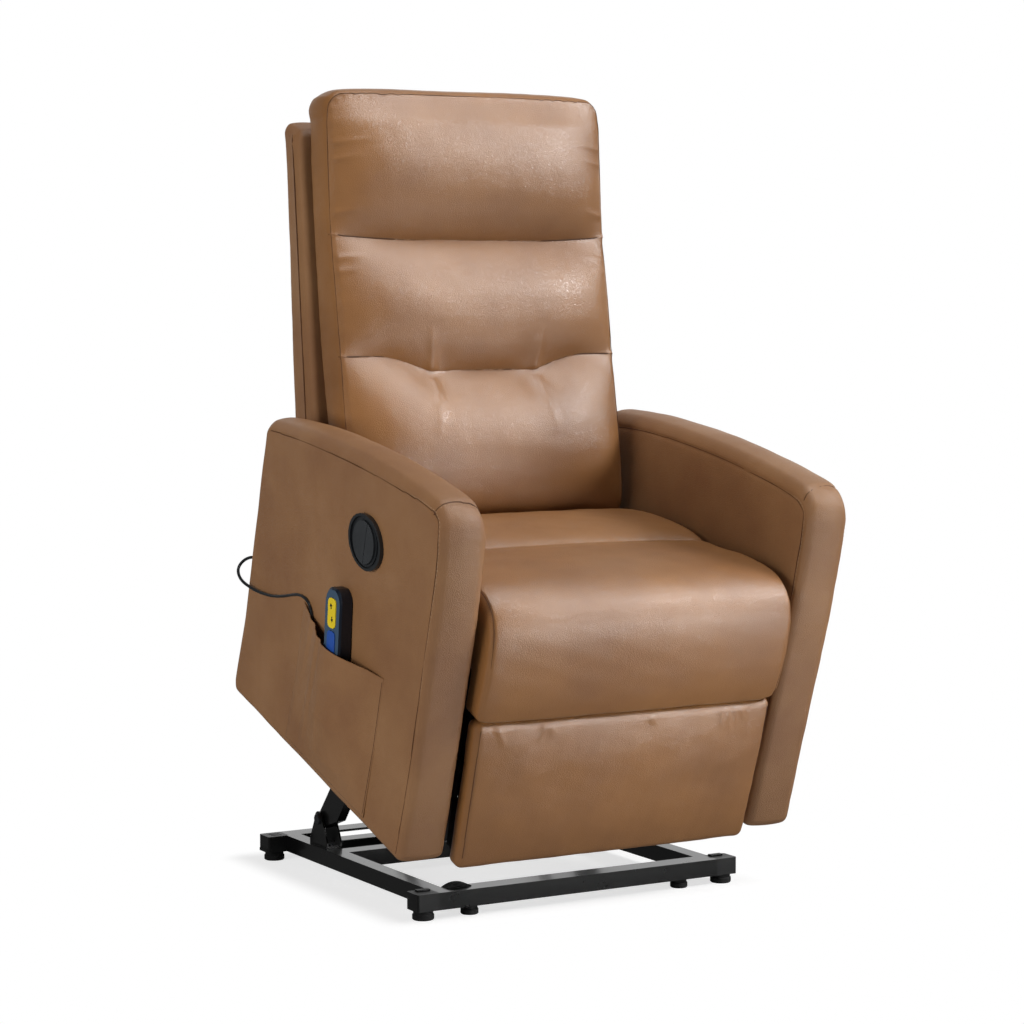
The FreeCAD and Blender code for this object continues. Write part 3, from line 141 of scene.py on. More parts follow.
def leather(name, tones, rough, grain=1.0, shine=1.0):
    """Pebbled upholstery leather: cloudy colour, fine grain and shallow creases."""
    cloud_scale, broad_scale, crease_scale, pore_scale = 6.0, 17.0, 55.0, 430.0
    material, tree, shader = new_material(name)
    dark, mid, light = [srgb(tone) for tone in tones]
    clouds = noise(tree, cloud_scale, 4.0, 0.6)
    pores = node(tree, "ShaderNodeTexVoronoi", {"Scale": pore_scale, "Vector": place_in(tree)},
                 "Distance", feature="DISTANCE_TO_EDGE")
    cells = ramp(tree, pores, [(0.0, grey(0.0)), (0.22, grey(1.0))])
    broad = bump(tree, noise(tree, broad_scale, 3.0, 0.5), 0.004, 0.1 * grain)
    creases = bump(tree, noise(tree, crease_scale, 6.0, 0.62), 0.0012, 0.1 * grain, broad)
    plug(tree, shader, {
        "Base Color": ramp(tree, clouds, [(0.3, dark), (0.5, mid), (0.72, light)]),
        "Roughness": ramp(tree, clouds, [(0.3, grey(rough + 0.07)), (0.7, grey(rough - 0.05))]),
        "Normal": bump(tree, cells, 0.0005, 0.36 * grain, creases),
        "Specular IOR Level": shine})
    return material


def plain(name, code, rough, metallic=0.0, coat=0.0, speckle=220.0, depth=0.0003, wear=0.1):
    """Moulded, painted or turned surface with a fine texture and uneven gloss."""
    material, tree, shader = new_material(name)
    low, high = [[min(1.0, value * share) for value in srgb(code)[:3]] + [1.0]
                 for share in (1.0 - wear, 1.0 + wear)]
    mottle = noise(tree, 24.0, 4.0, 0.6)
    dull, glossy = grey(rough * (1 + 2.0 * wear)), grey(rough * (1 - 1.5 * wear))
    plug(tree, shader, {
        "Base Color": ramp(tree, mottle, [(0.35, low), (0.65, high)]),
        "Roughness": ramp(tree, mottle, [(0.3, dull), (0.7, glossy)]),
        "Normal": bump(tree, noise(tree, speckle, 3.0, 0.6), depth, 0.3),
        "Metallic": metallic, "Coat Weight": coat, "Coat Roughness": 0.12})
    return material


def timber_material():
    material, tree, shader = new_material("timber")
    grain = node(tree, "ShaderNodeTexWave",
                 {"Scale": 22.0, "Distortion": 7.0, "Detail": 3.0, "Vector": place_in(tree)},
                 "Fac")
    plug(tree, shader, {
        "Base Color": ramp(tree, grain, [(0.2, srgb("A98358")), (0.8, srgb("C9A676"))]),
        "Normal": bump(tree, grain, 0.0006, 0.3),
        "Roughness": 0.7})
    return material


def case_material():
    """Handset moulding: slate on the face that carries the keys, navy round the sides."""
    material, tree, shader = new_material("handset_case")
    split = node(tree, "ShaderNodeSeparateXYZ", {"Vector": place_in(tree, "Normal")}, "X")
    facing = node(tree, "ShaderNodeMath", {0: split, 1: -1.0}, operation="MULTIPLY")
    plug(tree, shader, {
        "Base Color": ramp(tree, facing, [(0.8, srgb("131A25")), (0.97, srgb("3A4E62"))]),
        "Normal": bump(tree, noise(tree, 600.0), 0.0002, 0.3),
        "Roughness": 0.4})
    return material


leather_front = leather("leather_front", ("7D532D", "875C34", "91653B"), 0.35)
leather_side = leather("leather_side", ("7E583A", "876140", "906A48"), 0.42, 1.3, 0.6)
leather_dark = leather("leather_dark", ("5A3E29", "634630", "6C4E37"), 0.5, 1.2, 0.5)
thread = plain("thread", "A5876A", 0.7)
# Dark colour of the sewn lines: partly the seam itself, partly painted shade of the creases they
# lie in.
seam_line_and_painted_shade = plain("seam_line_and_painted_shade", "503422", 0.8)
black_paint = plain("black_paint", "0A0A0A", 0.28, coat=0.5, speckle=400.0, depth=0.00003,
                    wear=0.02)
black_cast = plain("black_cast", "141414", 0.38, speckle=500.0)
rubber = plain("rubber", "171717", 0.75, speckle=300.0)
steel = plain("steel", "A9ABAE", 0.32, metallic=1.0)
zinc = plain("zinc", "7E8084", 0.45, metallic=1.0)
plastic = plain("plastic", "222426", 0.34, speckle=600.0)
key_plastic = plain("key_plastic", "2E3032", 0.3, speckle=600.0)
navy = plain("navy", "141B26", 0.45, speckle=600.0)
yellow = plain("yellow", "D9BE1F", 0.35, wear=0.05)
blue = plain("blue", "234A96", 0.35)
# Near-black sheet material for pieces that fill gaps and slots: painted shade where light would
# show through.
painted_shade_cloth = plain("painted_shade_cloth", "0B0B0B", 0.9, speckle=500.0, depth=0.001)
ink = plain("ink", "2A2A20", 0.6)
webbing = plain("webbing", "2B2B2E", 0.85, speckle=500.0, depth=0.001)
timber = timber_material()
slate = case_material()


# Lines and shares


def share_of(value, start, end):
    """How far a value has come from start to end, held between 0 and 1."""
    return np.clip((value - start) / (end - start), 0, 1)


def points_at(x, y, z):
    """Points from their coordinates; a single value holds for all of them."""
    return np.column_stack(np.broadcast_arrays(x, y, z))


def unit(rows):
    """Vectors scaled to length 1."""
    return rows / (np.linalg.norm(rows, axis=-1, keepdims=True) + 1e-12)


def run_along(line):
    """Length of a line up to each of its points."""
    return np.concatenate([[0], np.cumsum(np.linalg.norm(np.diff(line, axis=0), axis=1))])


def along_line(line, run, want):
    """Points of a line, or one point, at places counted as in run."""
    return np.array([np.interp(want, run, column) for column in np.transpose(line)]).T


def line_at(line, share):
    """Points of a sampled line at shares of its length."""
    return along_line(line, range(len(line)), np.clip(share, 0, 1) * (len(line) - 1))


def smooth_path(points, count):
    """Evenly spaced points on a smooth curve through the given ones."""
    p = np.asarray(points, float)
    padded = np.vstack([2 * p[0] - p[1], p, 2 * p[-1] - p[-2]])
    line = []
    for i in range(len(p) - 1):
        a, b, c, d = padded[i:i + 4]
        t = np.linspace(0, 1, 24, endpoint=False)[:, None]
        line.append(0.5 * ((2 * b) + (c - a) * t + (2 * a - 5 * b + 4 * c - d) * t ** 2
                           + (3 * b - a - 3 * c + d) * t ** 3))
    line = np.vstack(line + [p[-1:]])
    run = run_along(line)
    return along_line(line, run, np.linspace(0, run[-1], count))


def bulge(u, power, fall=0.75):
    """Crown of a stuffed form: 1 in the middle, 0 where u is -1 or 1."""
    return np.clip(1 - np.abs(u) ** power, 0, 1) ** fall


def quarter_round(reach, radius):
    """Drop of a rounded corner, a radius at its end."""
    share = np.clip(reach / radius, 0, 1)
    return radius * (1 - np.sqrt(1 - share ** 2))


# Blocks and pieces


def samples(length, radius, spacing, rows=()):
    """Stations along one side of a rounded block, close together round its edges and at
    the sewn rows."""
    clear = 6.5
    beside_row = np.array([-5, -3, -1.5, 0, 1.5, 3, 5])
    edge = radius * (1 - np.tan(np.linspace(math.pi / 4, 0, 5)))[:-1]
    flat = length - 2 * radius
    middle = np.linspace(radius, length - radius, max(3, int(flat / spacing) + 1))
    places = np.concatenate([edge, middle, length - edge])
    for row in rows:
        places = places[np.abs(places - row) > clear]
        places = np.concatenate([places, row + beside_row])
    return np.sort(places)


def rounded_block(size, radius, spacing, rows=(), square=False):
    """Vertices and faces of a box with rounded edges, as coordinates along its three sides.
    The sewn rows cross its second side. With square its outline in the first two sides keeps
    sharp corners."""
    axes = [samples(size[k], radius, spacing[k], rows if k == 1 else ()) for k in range(3)]
    last = [len(axis) - 1 for axis in axes]
    index = {}
    grid = []
    for key in np.ndindex(*[len(axis) for axis in axes]):
        if any(key[k] in (0, last[k]) for k in range(3)):
            index[key] = len(grid)
            grid.append([axes[k][key[k]] for k in range(3)])
    faces = []
    for axis in range(3):
        p, q = [n for n in range(3) if n != axis]
        for end in (0, last[axis]):
            outward = (end > 0) == (axis != 1)
            for m, n in np.ndindex(last[p], last[q]):
                corners = []
                for dm, dn in ((0, 0), (1, 0), (1, 1), (0, 1)):
                    key = [0, 0, 0]
                    key[axis], key[p], key[q] = end, m + dm, n + dn
                    corners.append(index[tuple(key)])
                faces.append(corners if outward else corners[::-1])
    grid = np.array(grid)
    inner = np.clip(grid, radius, np.array(size) - radius)
    offset = grid - inner
    reach = np.linalg.norm(offset, axis=1)
    if square:
        reach = np.hypot(np.abs(offset[:, :2]).max(axis=1), offset[:, 2])
    reach[reach < 1e-9] = 1.0
    return inner + offset / reach[:, None] * radius, faces


def add_object(name, data, body):
    """Object riding on a body."""
    made = bpy.data.objects.new(name, data)
    bpy.context.scene.collection.objects.link(made)
    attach(made, body)
    return made


def add_mesh(name, points, faces, body, material, smooth=True):
    """Mesh object from points in world metres."""
    mesh = bpy.data.meshes.new(name)
    mesh.from_pydata(np.asarray(points, float).tolist(), [], faces)
    mesh.update()
    if smooth:
        mesh.shade_smooth()
    mesh.materials.append(material)
    return add_object(name, mesh, body)


def build(name, points, faces, body, material, replaced=()):
    """Mesh object from chair-frame points, in the place of the solids that it replaces."""
    made = add_mesh(name, to_world(points), faces, body, material)
    if replaced:
        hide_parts(*replaced)
    return made


def coordinates(obj):
    values = np.empty(len(obj.data.vertices) * 3)
    obj.data.vertices.foreach_get("co", values)
    return values.reshape(-1, 3)


def set_coordinates(obj, values):
    obj.data.vertices.foreach_set("co", np.asarray(values, float).ravel())
    obj.data.update()


def normals(obj):
    values = np.empty(len(obj.data.vertices) * 3)
    obj.data.vertex_normals.foreach_get("vector", values)
    return values.reshape(-1, 3)


def subdivide(obj):
    """Smooth a mesh by one level of subdivision."""
    modifier = obj.modifiers.new("smooth", "SUBSURF")
    modifier.levels = 1
    modifier.render_levels = 1
    shaped = obj.evaluated_get(bpy.context.evaluated_depsgraph_get())
    mesh = bpy.data.meshes.new_from_object(shaped)
    old = obj.data
    obj.modifiers.clear()
    obj.data = mesh
    bpy.data.meshes.remove(old)
    obj.data.shade_smooth()


# Sewing

hexagon = [(math.cos(turn * math.pi / 3), math.sin(turn * math.pi / 3)) for turn in range(6)]


def path_distance(points, path):
    """Distance of each point from a polyline, and how far along it the nearest place is."""
    best = np.full(len(points), 1e9)
    along = np.zeros(len(points))
    run = 0.0
    for a, b in zip(path[:-1], path[1:]):
        way = b - a
        length = np.linalg.norm(way)
        if length < 1e-9:
            continue
        t = np.clip((points - a) @ way / length ** 2, 0, 1)
        gap = np.linalg.norm(points - (a + t[:, None] * way), axis=1)
        closer = gap < best
        best[closer] = gap[closer]
        along[closer] = (run + t * length)[closer]
        run += length
    return best, along


def on_surface(obj, path_mm):
    """Chair-frame path moved on to the nearest surface of an object, in world metres, and the
    normals there."""
    mesh = obj.data
    tree = BVHTree.FromPolygons([v.co.copy() for v in mesh.vertices],
                                [tuple(p.vertices) for p in mesh.polygons])
    found = [tree.find_nearest(Vector(point)) for point in to_world(path_mm)]
    return [np.array([tuple(hit[k]) for hit in found]) for k in (0, 1)]


def crease(obj, path_mm, depth, width, puckers=None, fade=False, sharp=1.0):
    """Press a line into a skin along a path. Puckers run away from it, given as their height,
    period and reach. With fade it gets shallower from its first point to its last."""
    margin = 0.06
    path, _ = on_surface(obj, path_mm)
    points = coordinates(obj)
    near = np.all((points > path.min(0) - margin) & (points < path.max(0) + margin), axis=1)
    gap, along = [value * 1000 for value in path_distance(points[near], path)]
    push = -depth * np.exp(-(gap / width) ** sharp)
    if puckers:
        height, period, reach = puckers
        wave = np.sin(along / period * 2 * math.pi + 1.3 * np.sin(along / 37.0))
        wave *= 0.6 + 0.4 * np.sin(along / 61.0 + 2.0)
        push += height * wave * np.exp(-gap / reach) * np.clip(gap / 4.0, 0, 1)
    if fade:
        push *= np.clip(1.0 - along / (run_along(path)[-1] * 1000), 0, 1) ** 0.8
    points[near] += normals(obj)[near] * (push / 1000)[:, None]
    set_coordinates(obj, points)


def tube_faces(rings, start=0):
    """Faces of a closed six-sided tube; start is the number of its first point."""
    last = start + (rings - 1) * 6
    faces = [tuple(range(start + 5, start - 1, -1)), tuple(range(last, last + 6))]
    for ring in range(start, last, 6):
        for turn in range(6):
            a = ring + turn
            b = ring + (turn + 1) % 6
            faces.append((a, b, b + 6, a + 6))
    return faces


def stitches(name, obj, path_mm, body, pitch=7.0, length=4.4):
    """Row of thread stitches lying along a seam."""
    radius = 0.55
    path, outward = on_surface(obj, path_mm)
    run = run_along(path) * 1000
    points = []
    faces = []
    for n in range(int(run[-1] / pitch)):
        middle = (n + 0.5) * pitch
        a, b = along_line(path, run, [middle - length / 2, middle + length / 2])
        normal = unit(along_line(outward, run, middle))
        side = np.cross(unit(b - a), normal)
        faces += tube_faces(5, len(points))
        for share, swelling in ((0, 0.35), (0.18, 0.9), (0.5, 1.0), (0.82, 0.9), (1, 0.35)):
            sunk = 0.1 if 0.1 < share < 0.9 else -0.5
            centre = a + (b - a) * share + normal * sunk * radius / 1000
            points += [centre + (side * u + normal * v) * radius * swelling / 1000
                       for u, v in hexagon]
    add_mesh(name, points, faces, body, thread)


def seam(name, obj, path_mm, body, depth, width, radius=0.55, puckers=None, ease=0):
    """Crease with a dark sewn line in it, which is evened out as many times as ease says. The
    line's dark colour is partly the seam and partly painted shade of the crease.
    """
    sink = 0.25
    crease(obj, path_mm, depth, width, puckers)
    path, outward = on_surface(obj, path_mm)
    for _ in range(ease):
        for line in (path, outward):
            line[1:-1] = (line[:-2] + 2 * line[1:-1] + line[2:]) / 4
    side = unit(np.cross(unit(np.gradient(path, axis=0)), outward))
    rounds = [path + (side * u + outward * (v - sink)) * radius / 1000 for u, v in hexagon]
    points = np.stack(rounds, axis=1).reshape(-1, 3)
    add_mesh(name, points, tube_faces(len(path)), body, seam_line_and_painted_shade)


def swell(obj, amount_mm, scale_mm, seed):
    """Very shallow unevenness of a stuffed skin: repeatable noise from a few sine waves."""
    rng = np.random.default_rng(seed)
    points = coordinates(obj)
    place = to_chair(points)
    total = np.zeros(len(points))
    for octave in range(3):
        for _ in range(4):
            way = unit(rng.normal(size=3))
            total += np.sin(place @ way * 2 * math.pi / scale_mm * 2 ** octave
                            + rng.uniform(0, 6.3)) / 2 ** octave / 4
    set_coordinates(obj, points + normals(obj) * (total * amount_mm / 1000)[:, None])


# Back cushion

back_seam_line = smooth_path([(484, 334), (487, 370), (514, 436), (540, 487), (591, 587),
                              (638, 680), (682, 764), (722, 860), (750, 934), (766, 978)], 240)
back_rear_line = smooth_path([(528, 334), (602, 466), (655, 559), (725, 707), (778, 827),
                              (826, 956)], 240)
back_half = 257.0
back_forward = np.array([-0.892, 0.452])
back_low_row = 587.0
back_high_row = 764.0
tuft_x = 96.0


def back_share(z):
    """Share of the front line at which it has a height."""
    return np.interp(z, back_seam_line[:, 1], np.linspace(0, 1, 240))


def back_front_y(z):
    return np.interp(z, back_seam_line[:, 1], back_seam_line[:, 0])


def low_seam(x):
    """Height of the lower sewn channel: it drops between two tufts."""
    return 565 + 22 * np.sin(math.pi / 2 * share_of(np.abs(x), tuft_x, tuft_x + 105)) ** 1.2


def high_seam(x):
    """Height of the upper sewn channel, which rises towards its ends."""
    return 757 + 7 * share_of(np.abs(x), 120, 255) ** 1.5


def back_drop(x, z):
    """How far a row of the front skin is shifted for its seams to follow their lines."""
    low = (low_seam(x) - back_low_row) * np.exp(-((z - back_low_row) / 75.0) ** 2)
    high = (high_seam(x) - back_high_row) * np.exp(-((z - back_high_row) / 60.0) ** 2)
    return low + high


def back_puff(x, z):
    """How far the front skin stands out from its side seams. A lean under 1 moves the crown
    of a section down."""
    sections = ((344.0, back_low_row, 46.0, 1.0), (back_low_row, back_high_row, 40.0, 0.84),
                (back_high_row, 990.0, 44.0, 0.80))
    tuft_width, tuft_height, tuft_depth = 34.0, 44.0, 9.0
    height = np.zeros_like(x)
    for bottom, top, rise, lean in sections:
        inside = (z >= bottom) & (z <= top)
        s = share_of(z, bottom, top) ** lean
        height = np.where(inside, rise * np.sin(math.pi * s) ** 0.75, height)
    for _, sign in sides:
        gap = np.hypot((x - sign * tuft_x) / tuft_width, (z - back_low_row) / tuft_height)
        height = height - tuft_depth * np.exp(-gap ** 2) * np.clip(height / 20.0, 0, 1)
    return (height + 2.0) * bulge(x / back_half, 4.2, 0.8)


def back_folds(skin):
    """Folds that start at the tufts and at the side seams."""
    for _, sign in sides:
        for run, climb, deep, wide in ((10, 74, 6.0, 10.0), (14, -96, 5.0, 12.0),
                                       (46, 56, 1.6, 13.0), (46, -64, 2.0, 13.0)):
            t = np.linspace(0.14, 1, 16)
            x = sign * (tuft_x + run * (t + 0.4 * t ** 2) / 1.4)
            z = 566 + climb * t
            path = points_at(x, back_front_y(z) - 20, z)
            crease(skin, path, deep, wide, fade=True, sharp=1.3)
        for height, run in ((905, 70), (880, 48), (800, 44), (735, 52), (715, 34)):
            t = np.linspace(0, 1, 12)
            z = height + 10 * t
            path = points_at(sign * (back_half - 4 - run * t), back_front_y(z) - 14 - 14 * t, z)
            crease(skin, path, 1.8, 5.0, fade=True, sharp=1.5)


def back_edge(skin):
    """Sewn edge up one side, round the top and down the other side."""
    side_foot, side_top, top = 352, 946, 974.0
    turn = np.linspace(0, math.pi / 2, 14)
    side_x = np.concatenate([np.full(110, back_half - 1.0), 228 + 28 * np.cos(turn)])
    side_z = np.concatenate([np.linspace(side_foot, side_top, 110), 948 + 26 * np.sin(turn)])
    x = np.concatenate([side_x, np.linspace(222, -222, 60), -side_x[::-1]])
    z = np.concatenate([side_z, np.full(60, top), side_z[::-1]])
    stand = 0.6 * back_puff(x, z) * (z > 940)
    path = points_at(x, back_front_y(z) + back_forward[0] * stand, z + back_forward[1] * stand)
    seam("back_edge", skin, path, "backrest", 1.6, 2.6, puckers=(0.5, 24.0, 9.0))


def back_cushion():
    """Waterfall cushion in three puffed sections."""
    length, thickness = 700.0, 62.0
    rows = [back_share(row) * length for row in (back_low_row, back_high_row)]
    block, faces = rounded_block((2 * back_half, length, thickness), 9.0, (7.0, 6.4, 9.0), rows)
    x = block[:, 0] - back_half
    share = block[:, 1] / length
    depth = block[:, 2] / thickness
    front = line_at(back_seam_line, share)
    rear = line_at(back_rear_line, share)
    row = front[:, 1]
    shift = back_drop(x, row) * (1 - depth)
    top = share_of(share, 0.93, 1.0)
    rise = back_puff(x, row) * (1 - depth) ** 1.3 * (1 - 0.4 * top)
    place = front * (1 - depth[:, None]) + rear * depth[:, None]
    place += back_forward * rise[:, None]
    place += np.column_stack([shift * 0.5, shift])
    lift = 11 * np.sin(math.pi * (0.05 + 0.9 * depth)) * bulge(x / back_half, 7) * top
    corner = quarter_round(np.abs(x) - 229, 28.0) * top
    ruche = 1.3 * np.abs(np.sin(math.pi * row / 27.0)) * np.sin(math.pi * depth)
    side = np.sign(x) * (3.0 * np.sin(math.pi * depth) + ruche) * (np.abs(x) > back_half - 8)
    points = points_at(x + side, place[:, 0], place[:, 1] + lift - 0.9 * corner)
    made = build("back_cushion_soft", points, faces, "backrest", leather_front,
                 ["back_cushion"])
    subdivide(made)
    xs = np.linspace(-back_half + 1, back_half - 1, 140)
    for tag, zs in (("low", low_seam(xs)), ("high", high_seam(xs))):
        path = points_at(xs, back_front_y(zs) + 4, zs)
        seam("back_seam_" + tag, made, path, "backrest", 2.8, 4.4, 1.3, ease=8)
    back_folds(made)
    back_edge(made)
    swell(made, 0.9, 150.0, 3)


# Back shell


def shell_front(z):
    """Front face of the shell, which leans back."""
    return 627 + 0.453 * (z - 457)


def shell_rear(z):
    return 707 + 0.389 * (z - 437)


def back_base():
    """Padding block between the cushion and the shell, drawn in so that a shadow gap shows. Its
    dark colour is painted shade in that gap.
    """
    half, foot, height, thickness = 235.0, 345.0, 560.0, 40.0
    block, faces = rounded_block((2 * half, height, thickness), 6.0, (24.0, 20.0, 10.0))
    z = foot + block[:, 1]
    front = np.interp(z, back_rear_line[:, 1], back_rear_line[:, 0]) - 12
    y = front + (shell_front(z) - 0.5 - front) * block[:, 2] / thickness
    made = build("back_cushion_base", points_at(block[:, 0] - half, y, z), faces, "backrest",
                 seam_line_and_painted_shade)


def back_shell():
    """Covered shell with a seam down each side, two down its rear and one across the top."""
    half, foot, height, thickness = 267.0, 297.0, 601.0, 60.0
    seam_x, stitch_x, seam_top = 246.0, 241.0, 879.0
    block, faces = rounded_block((2 * half, height, thickness), 11.0, (14.0, 12.0, 12.0))
    x = block[:, 0] - half
    z = foot + block[:, 1]
    depth = block[:, 2] / thickness
    panel = bulge(x / 262, 6, 1.0) * bulge((z - 600) / 310, 6, 1.0)
    y = shell_front(z) * (1 - depth) + shell_rear(z) * depth
    y += np.where(depth > 0.9, 3.0 * panel, 0.0)
    drop = quarter_round(np.abs(x) - 244, 23.0) * share_of(z, 858, 898)
    made = build("back_shell_soft", points_at(x, y, z - 0.7 * drop), faces, "backrest",
                 leather_side, ["back_shell"])
    subdivide(made)
    zs = np.linspace(305, 884, 80)
    rear = shell_rear(zs)
    for tag, sign in sides:
        path = points_at(sign * half, shell_front(zs) * 0.64 + rear * 0.36, zs)
        seam("shell_seam_" + tag, made, path, "backrest", 3.2, 3.0, 1.1)
        seam("shell_rear_seam_" + tag, made, points_at(sign * seam_x, rear, zs), "backrest",
             1.8, 2.4, puckers=(0.4, 22.0, 10.0))
        stitches("shell_stitch_" + tag, made, points_at(sign * stitch_x, rear, zs), "backrest")
    top = points_at(np.linspace(-seam_x, seam_x, 60), shell_rear(seam_top), seam_top)
    seam("shell_top_seam", made, top, "backrest", 1.8, 2.4)
    swell(made, 0.7, 170.0, 5)


def back_flap():
    """Loose lower flap of the shell."""
    half, foot, height, thickness, hem_z = 238.0, 180.0, 132.0, 12.0, 190.0
    block, faces = rounded_block((2 * half, height, thickness), 4.0, (16.0, 12.0, 4.0))
    z = foot + block[:, 1]
    points = points_at(block[:, 0] - half, shell_rear(z) - thickness + block[:, 2], z)
    made = build("back_flap", points, faces, "backrest", leather_dark)
    subdivide(made)
    hem = points_at(np.linspace(-232, 232, 40), shell_rear(hem_z), hem_z)
    seam("flap_hem", made, hem, "backrest", 1.0, 2.2)
    swell(made, 1.0, 120.0, 6)


# Seat cushion

seat_half = 269.0
seat_skin = [(478, 340), (456, 354), (400, 369), (345, 380), (290, 386), (240, 387), (190, 394),
             (126, 408), (70, 414), (36, 413), (10, 404), (-9, 386), (-19, 360), (-23, 318),
             (-21, 262), (-15, 221)]
seat_inside = [(470, 294), (452, 294), (400, 293.5), (345, 293.5), (290, 293), (240, 293),
               (190, 293), (126, 293), (70, 293), (45, 293), (32, 293), (26.5, 290), (25.4, 282),
               (25.4, 266), (25.4, 246), (25.4, 226)]
seat_line = smooth_path(seat_skin, 280)


def seat_inner():
    """Underside of the cushion at equal shares of the skin's length."""
    run = run_along(np.asarray(seat_skin, float))
    return along_line(seat_inside, run / run[-1], np.linspace(0, 1, 280))


def seat_cushion():
    """Cushion whose front rolls over the edge of the seat box."""
    length, thickness, channel_y = 760.0, 60.0, 240.0
    channel = np.interp(-channel_y, -seat_line[:170, 0], np.linspace(0, 169 / 279, 170))
    block, faces = rounded_block((2 * seat_half, length, thickness), 9.0, (7.4, 6.8, 11.0),
                                 [channel * length])
    x = block[:, 0] - seat_half
    share = block[:, 1] / length
    depth = block[:, 2] / thickness
    way = np.gradient(seat_line, axis=0)
    out = line_at(unit(np.column_stack([way[:, 1], -way[:, 0]])), share)
    edge = share_of(share, 0, 0.12) * share_of(share, 1, 0.9)
    rise = 11.0 * edge ** 0.6 * bulge(x / seat_half, 5.0, 0.7)
    rise *= 1 - 0.5 * np.exp(-((share - channel) / 0.030) ** 2)
    rise *= 1 - 0.45 * np.exp(-((share - 0.9) / 0.10) ** 2)
    skin = line_at(seat_line, share)
    place = skin * (1 - depth[:, None]) + line_at(seat_inner(), share) * depth[:, None]
    place += out * (rise * (1 - depth))[:, None]
    low = share_of(share, 0.97, 1.0) * share_of(np.abs(x), 240, 264)
    points = points_at(x - np.sign(x) * 5 * low, place[:, 0], place[:, 1] + 4 * low)
    made = build("seat_cushion_soft", points, faces, "chair", leather_front,
                 ["seat_cushion"])
    subdivide(made)
    xs = np.linspace(-seat_half + 2, seat_half - 2, 100)
    path = points_at(xs, channel_y + 8 * np.cos(xs / seat_half * math.pi / 2), 388.0)
    crease(made, path, 2.4, 4.0, (0.4, 37.0, 18.0))
    edge_y, edge_z = line_at(seat_line, np.linspace(0.02, 0.985, 150)).T
    for tag, sign in sides:
        path = points_at(sign * (seat_half - 5), edge_y, edge_z)
        seam("seat_edge_" + tag, made, path, "chair", 1.0, 2.6, puckers=(0.15, 26.0, 10.0))
    swell(made, 0.9, 140.0, 11)


# Leg rest pad

pad_half = 265.0


def pad_taper(z):
    """Share of its width that the pad keeps at a height; it narrows towards its foot."""
    top, height, loss = 218, 238, 0.016
    return 1 - loss * (top - z) / height


def leg_pad():
    height, thickness, foot, front_y, rear_y = 243.0, 38.0, -21.5, -13, 19.7
    block, faces = rounded_block((2 * pad_half, height, thickness), 13.0, (7.4, 6.4, 6.0))
    x = block[:, 0] - pad_half
    z = foot + block[:, 1]
    depth = block[:, 2] / thickness
    crown = bulge(0.96 * x / pad_half, 4.4, 0.8) * bulge(0.94 * (z - 100) / 119, 2.8, 0.85)
    y = (front_y - 13.0 * crown) * (1 - depth) + rear_y * depth
    made = build("legrest_pad_soft", points_at(x * pad_taper(z), y, z), faces, "legrest",
                 leather_front, ["legrest_pad"])
    subdivide(made)
    zs = np.linspace(0, 212, 80)
    for tag, sign in sides:
        path = points_at(sign * (pad_half - 7) * pad_taper(zs), front_y - 2.0, zs)
        seam("pad_edge_" + tag, made, path, "legrest", 0.8, 2.6)
    for start, lean, length in ((168, 6, 30), (180, 10, 40), (194, 4, 26), (206, 14, 22),
                                (-150, -8, 26), (-138, 4, 18), (-228, 14, 30), (40, 4, 12)):
        t = np.linspace(0, 1, 10)
        path = points_at(start + lean * t, front_y - 9.0, 211 - length * t)
        crease(made, path, 2.2, 5.5, fade=True, sharp=1.4)
    swell(made, 0.9, 120.0, 17)


# Arms

arm_top = smooth_path([(13, 508), (22, 533), (44, 549), (72, 552), (165, 547), (300, 532),
                       (470, 504), (590, 476), (608, 469), (614, 452)], 200)
arm_foot = {"left": -8.0, "right": -16.0}
outer_seam = smooth_path([(11, 6), (12, 120), (13, 240), (13, 380), (15, 464), (24, 520),
                          (38, 538), (72, 542), (165, 533), (300, 517), (470, 489),
                          (598, 462)], 190)
inner_seam = smooth_path([(10, 6), (11, 180), (13, 356), (16, 420), (24, 505), (38, 527),
                          (70, 533), (152, 530), (300, 515), (470, 487), (590, 456)], 190)


def arm_point(a, b, foot):
    """Place in the side outline: a runs front to rear, b bottom to top, both 0 to 1. The foot
    is straight, and the other three edges are curved."""
    foot_length, rear_most = 612, 624
    (front_y, front_z), (rear_y, rear_z) = arm_top[0], arm_top[-1]
    front = np.column_stack([front_y * share_of(b, 0.6, 1.0) ** 2, foot + b * (front_z - foot)])
    rear = np.column_stack([np.interp(b, [0, 0.04, 1], [foot_length, rear_most, rear_y]),
                            foot + b * (rear_z - foot)])
    rise = line_at(arm_top, a) - line_at(arm_top[[0, -1]], a)
    a, b = a[:, None], b[:, None]
    return (1 - a) * front + a * rear + b * rise


def arm_face(side, z):
    """Outer face of an arm; the left one stays in behind the pocket, cord and handset."""
    if side == "right":
        return 360.0
    return 351.5 + 10.0 * z / 556.0 + 5.0 * np.clip(1 - z / 130.0, 0, 1)


def arm_x(side, z, share):
    """Across the arm: share 0 is the inner face, 1 the outer face."""
    inner = 274.0 + 11.0 * z / 556.0
    return inner + (arm_face(side, z) - inner) * share


def arm_rooms(side, place, across, up):
    """How far an arm's outer face lies in and its foot lies up: the left one leaves room
    behind the switch keys, the right one for the base's corner block with the chair down."""
    switch_y, switch_z, block_y, block_reach = 226, 421, 163, 46
    y, z = place.T
    if side == "left":
        from_switch = np.hypot((y - switch_y) / 42, (z - switch_z) / 34)
        return np.where(across > 0.97, 4.0 * np.exp(-from_switch ** 8), 0), 0.0
    hollow = share_of(block_reach - np.abs(y - block_y), 0, 18) * share_of(across, 0.45, 0.31)
    return 0.0, 8.5 * hollow * (1 - up) ** 6


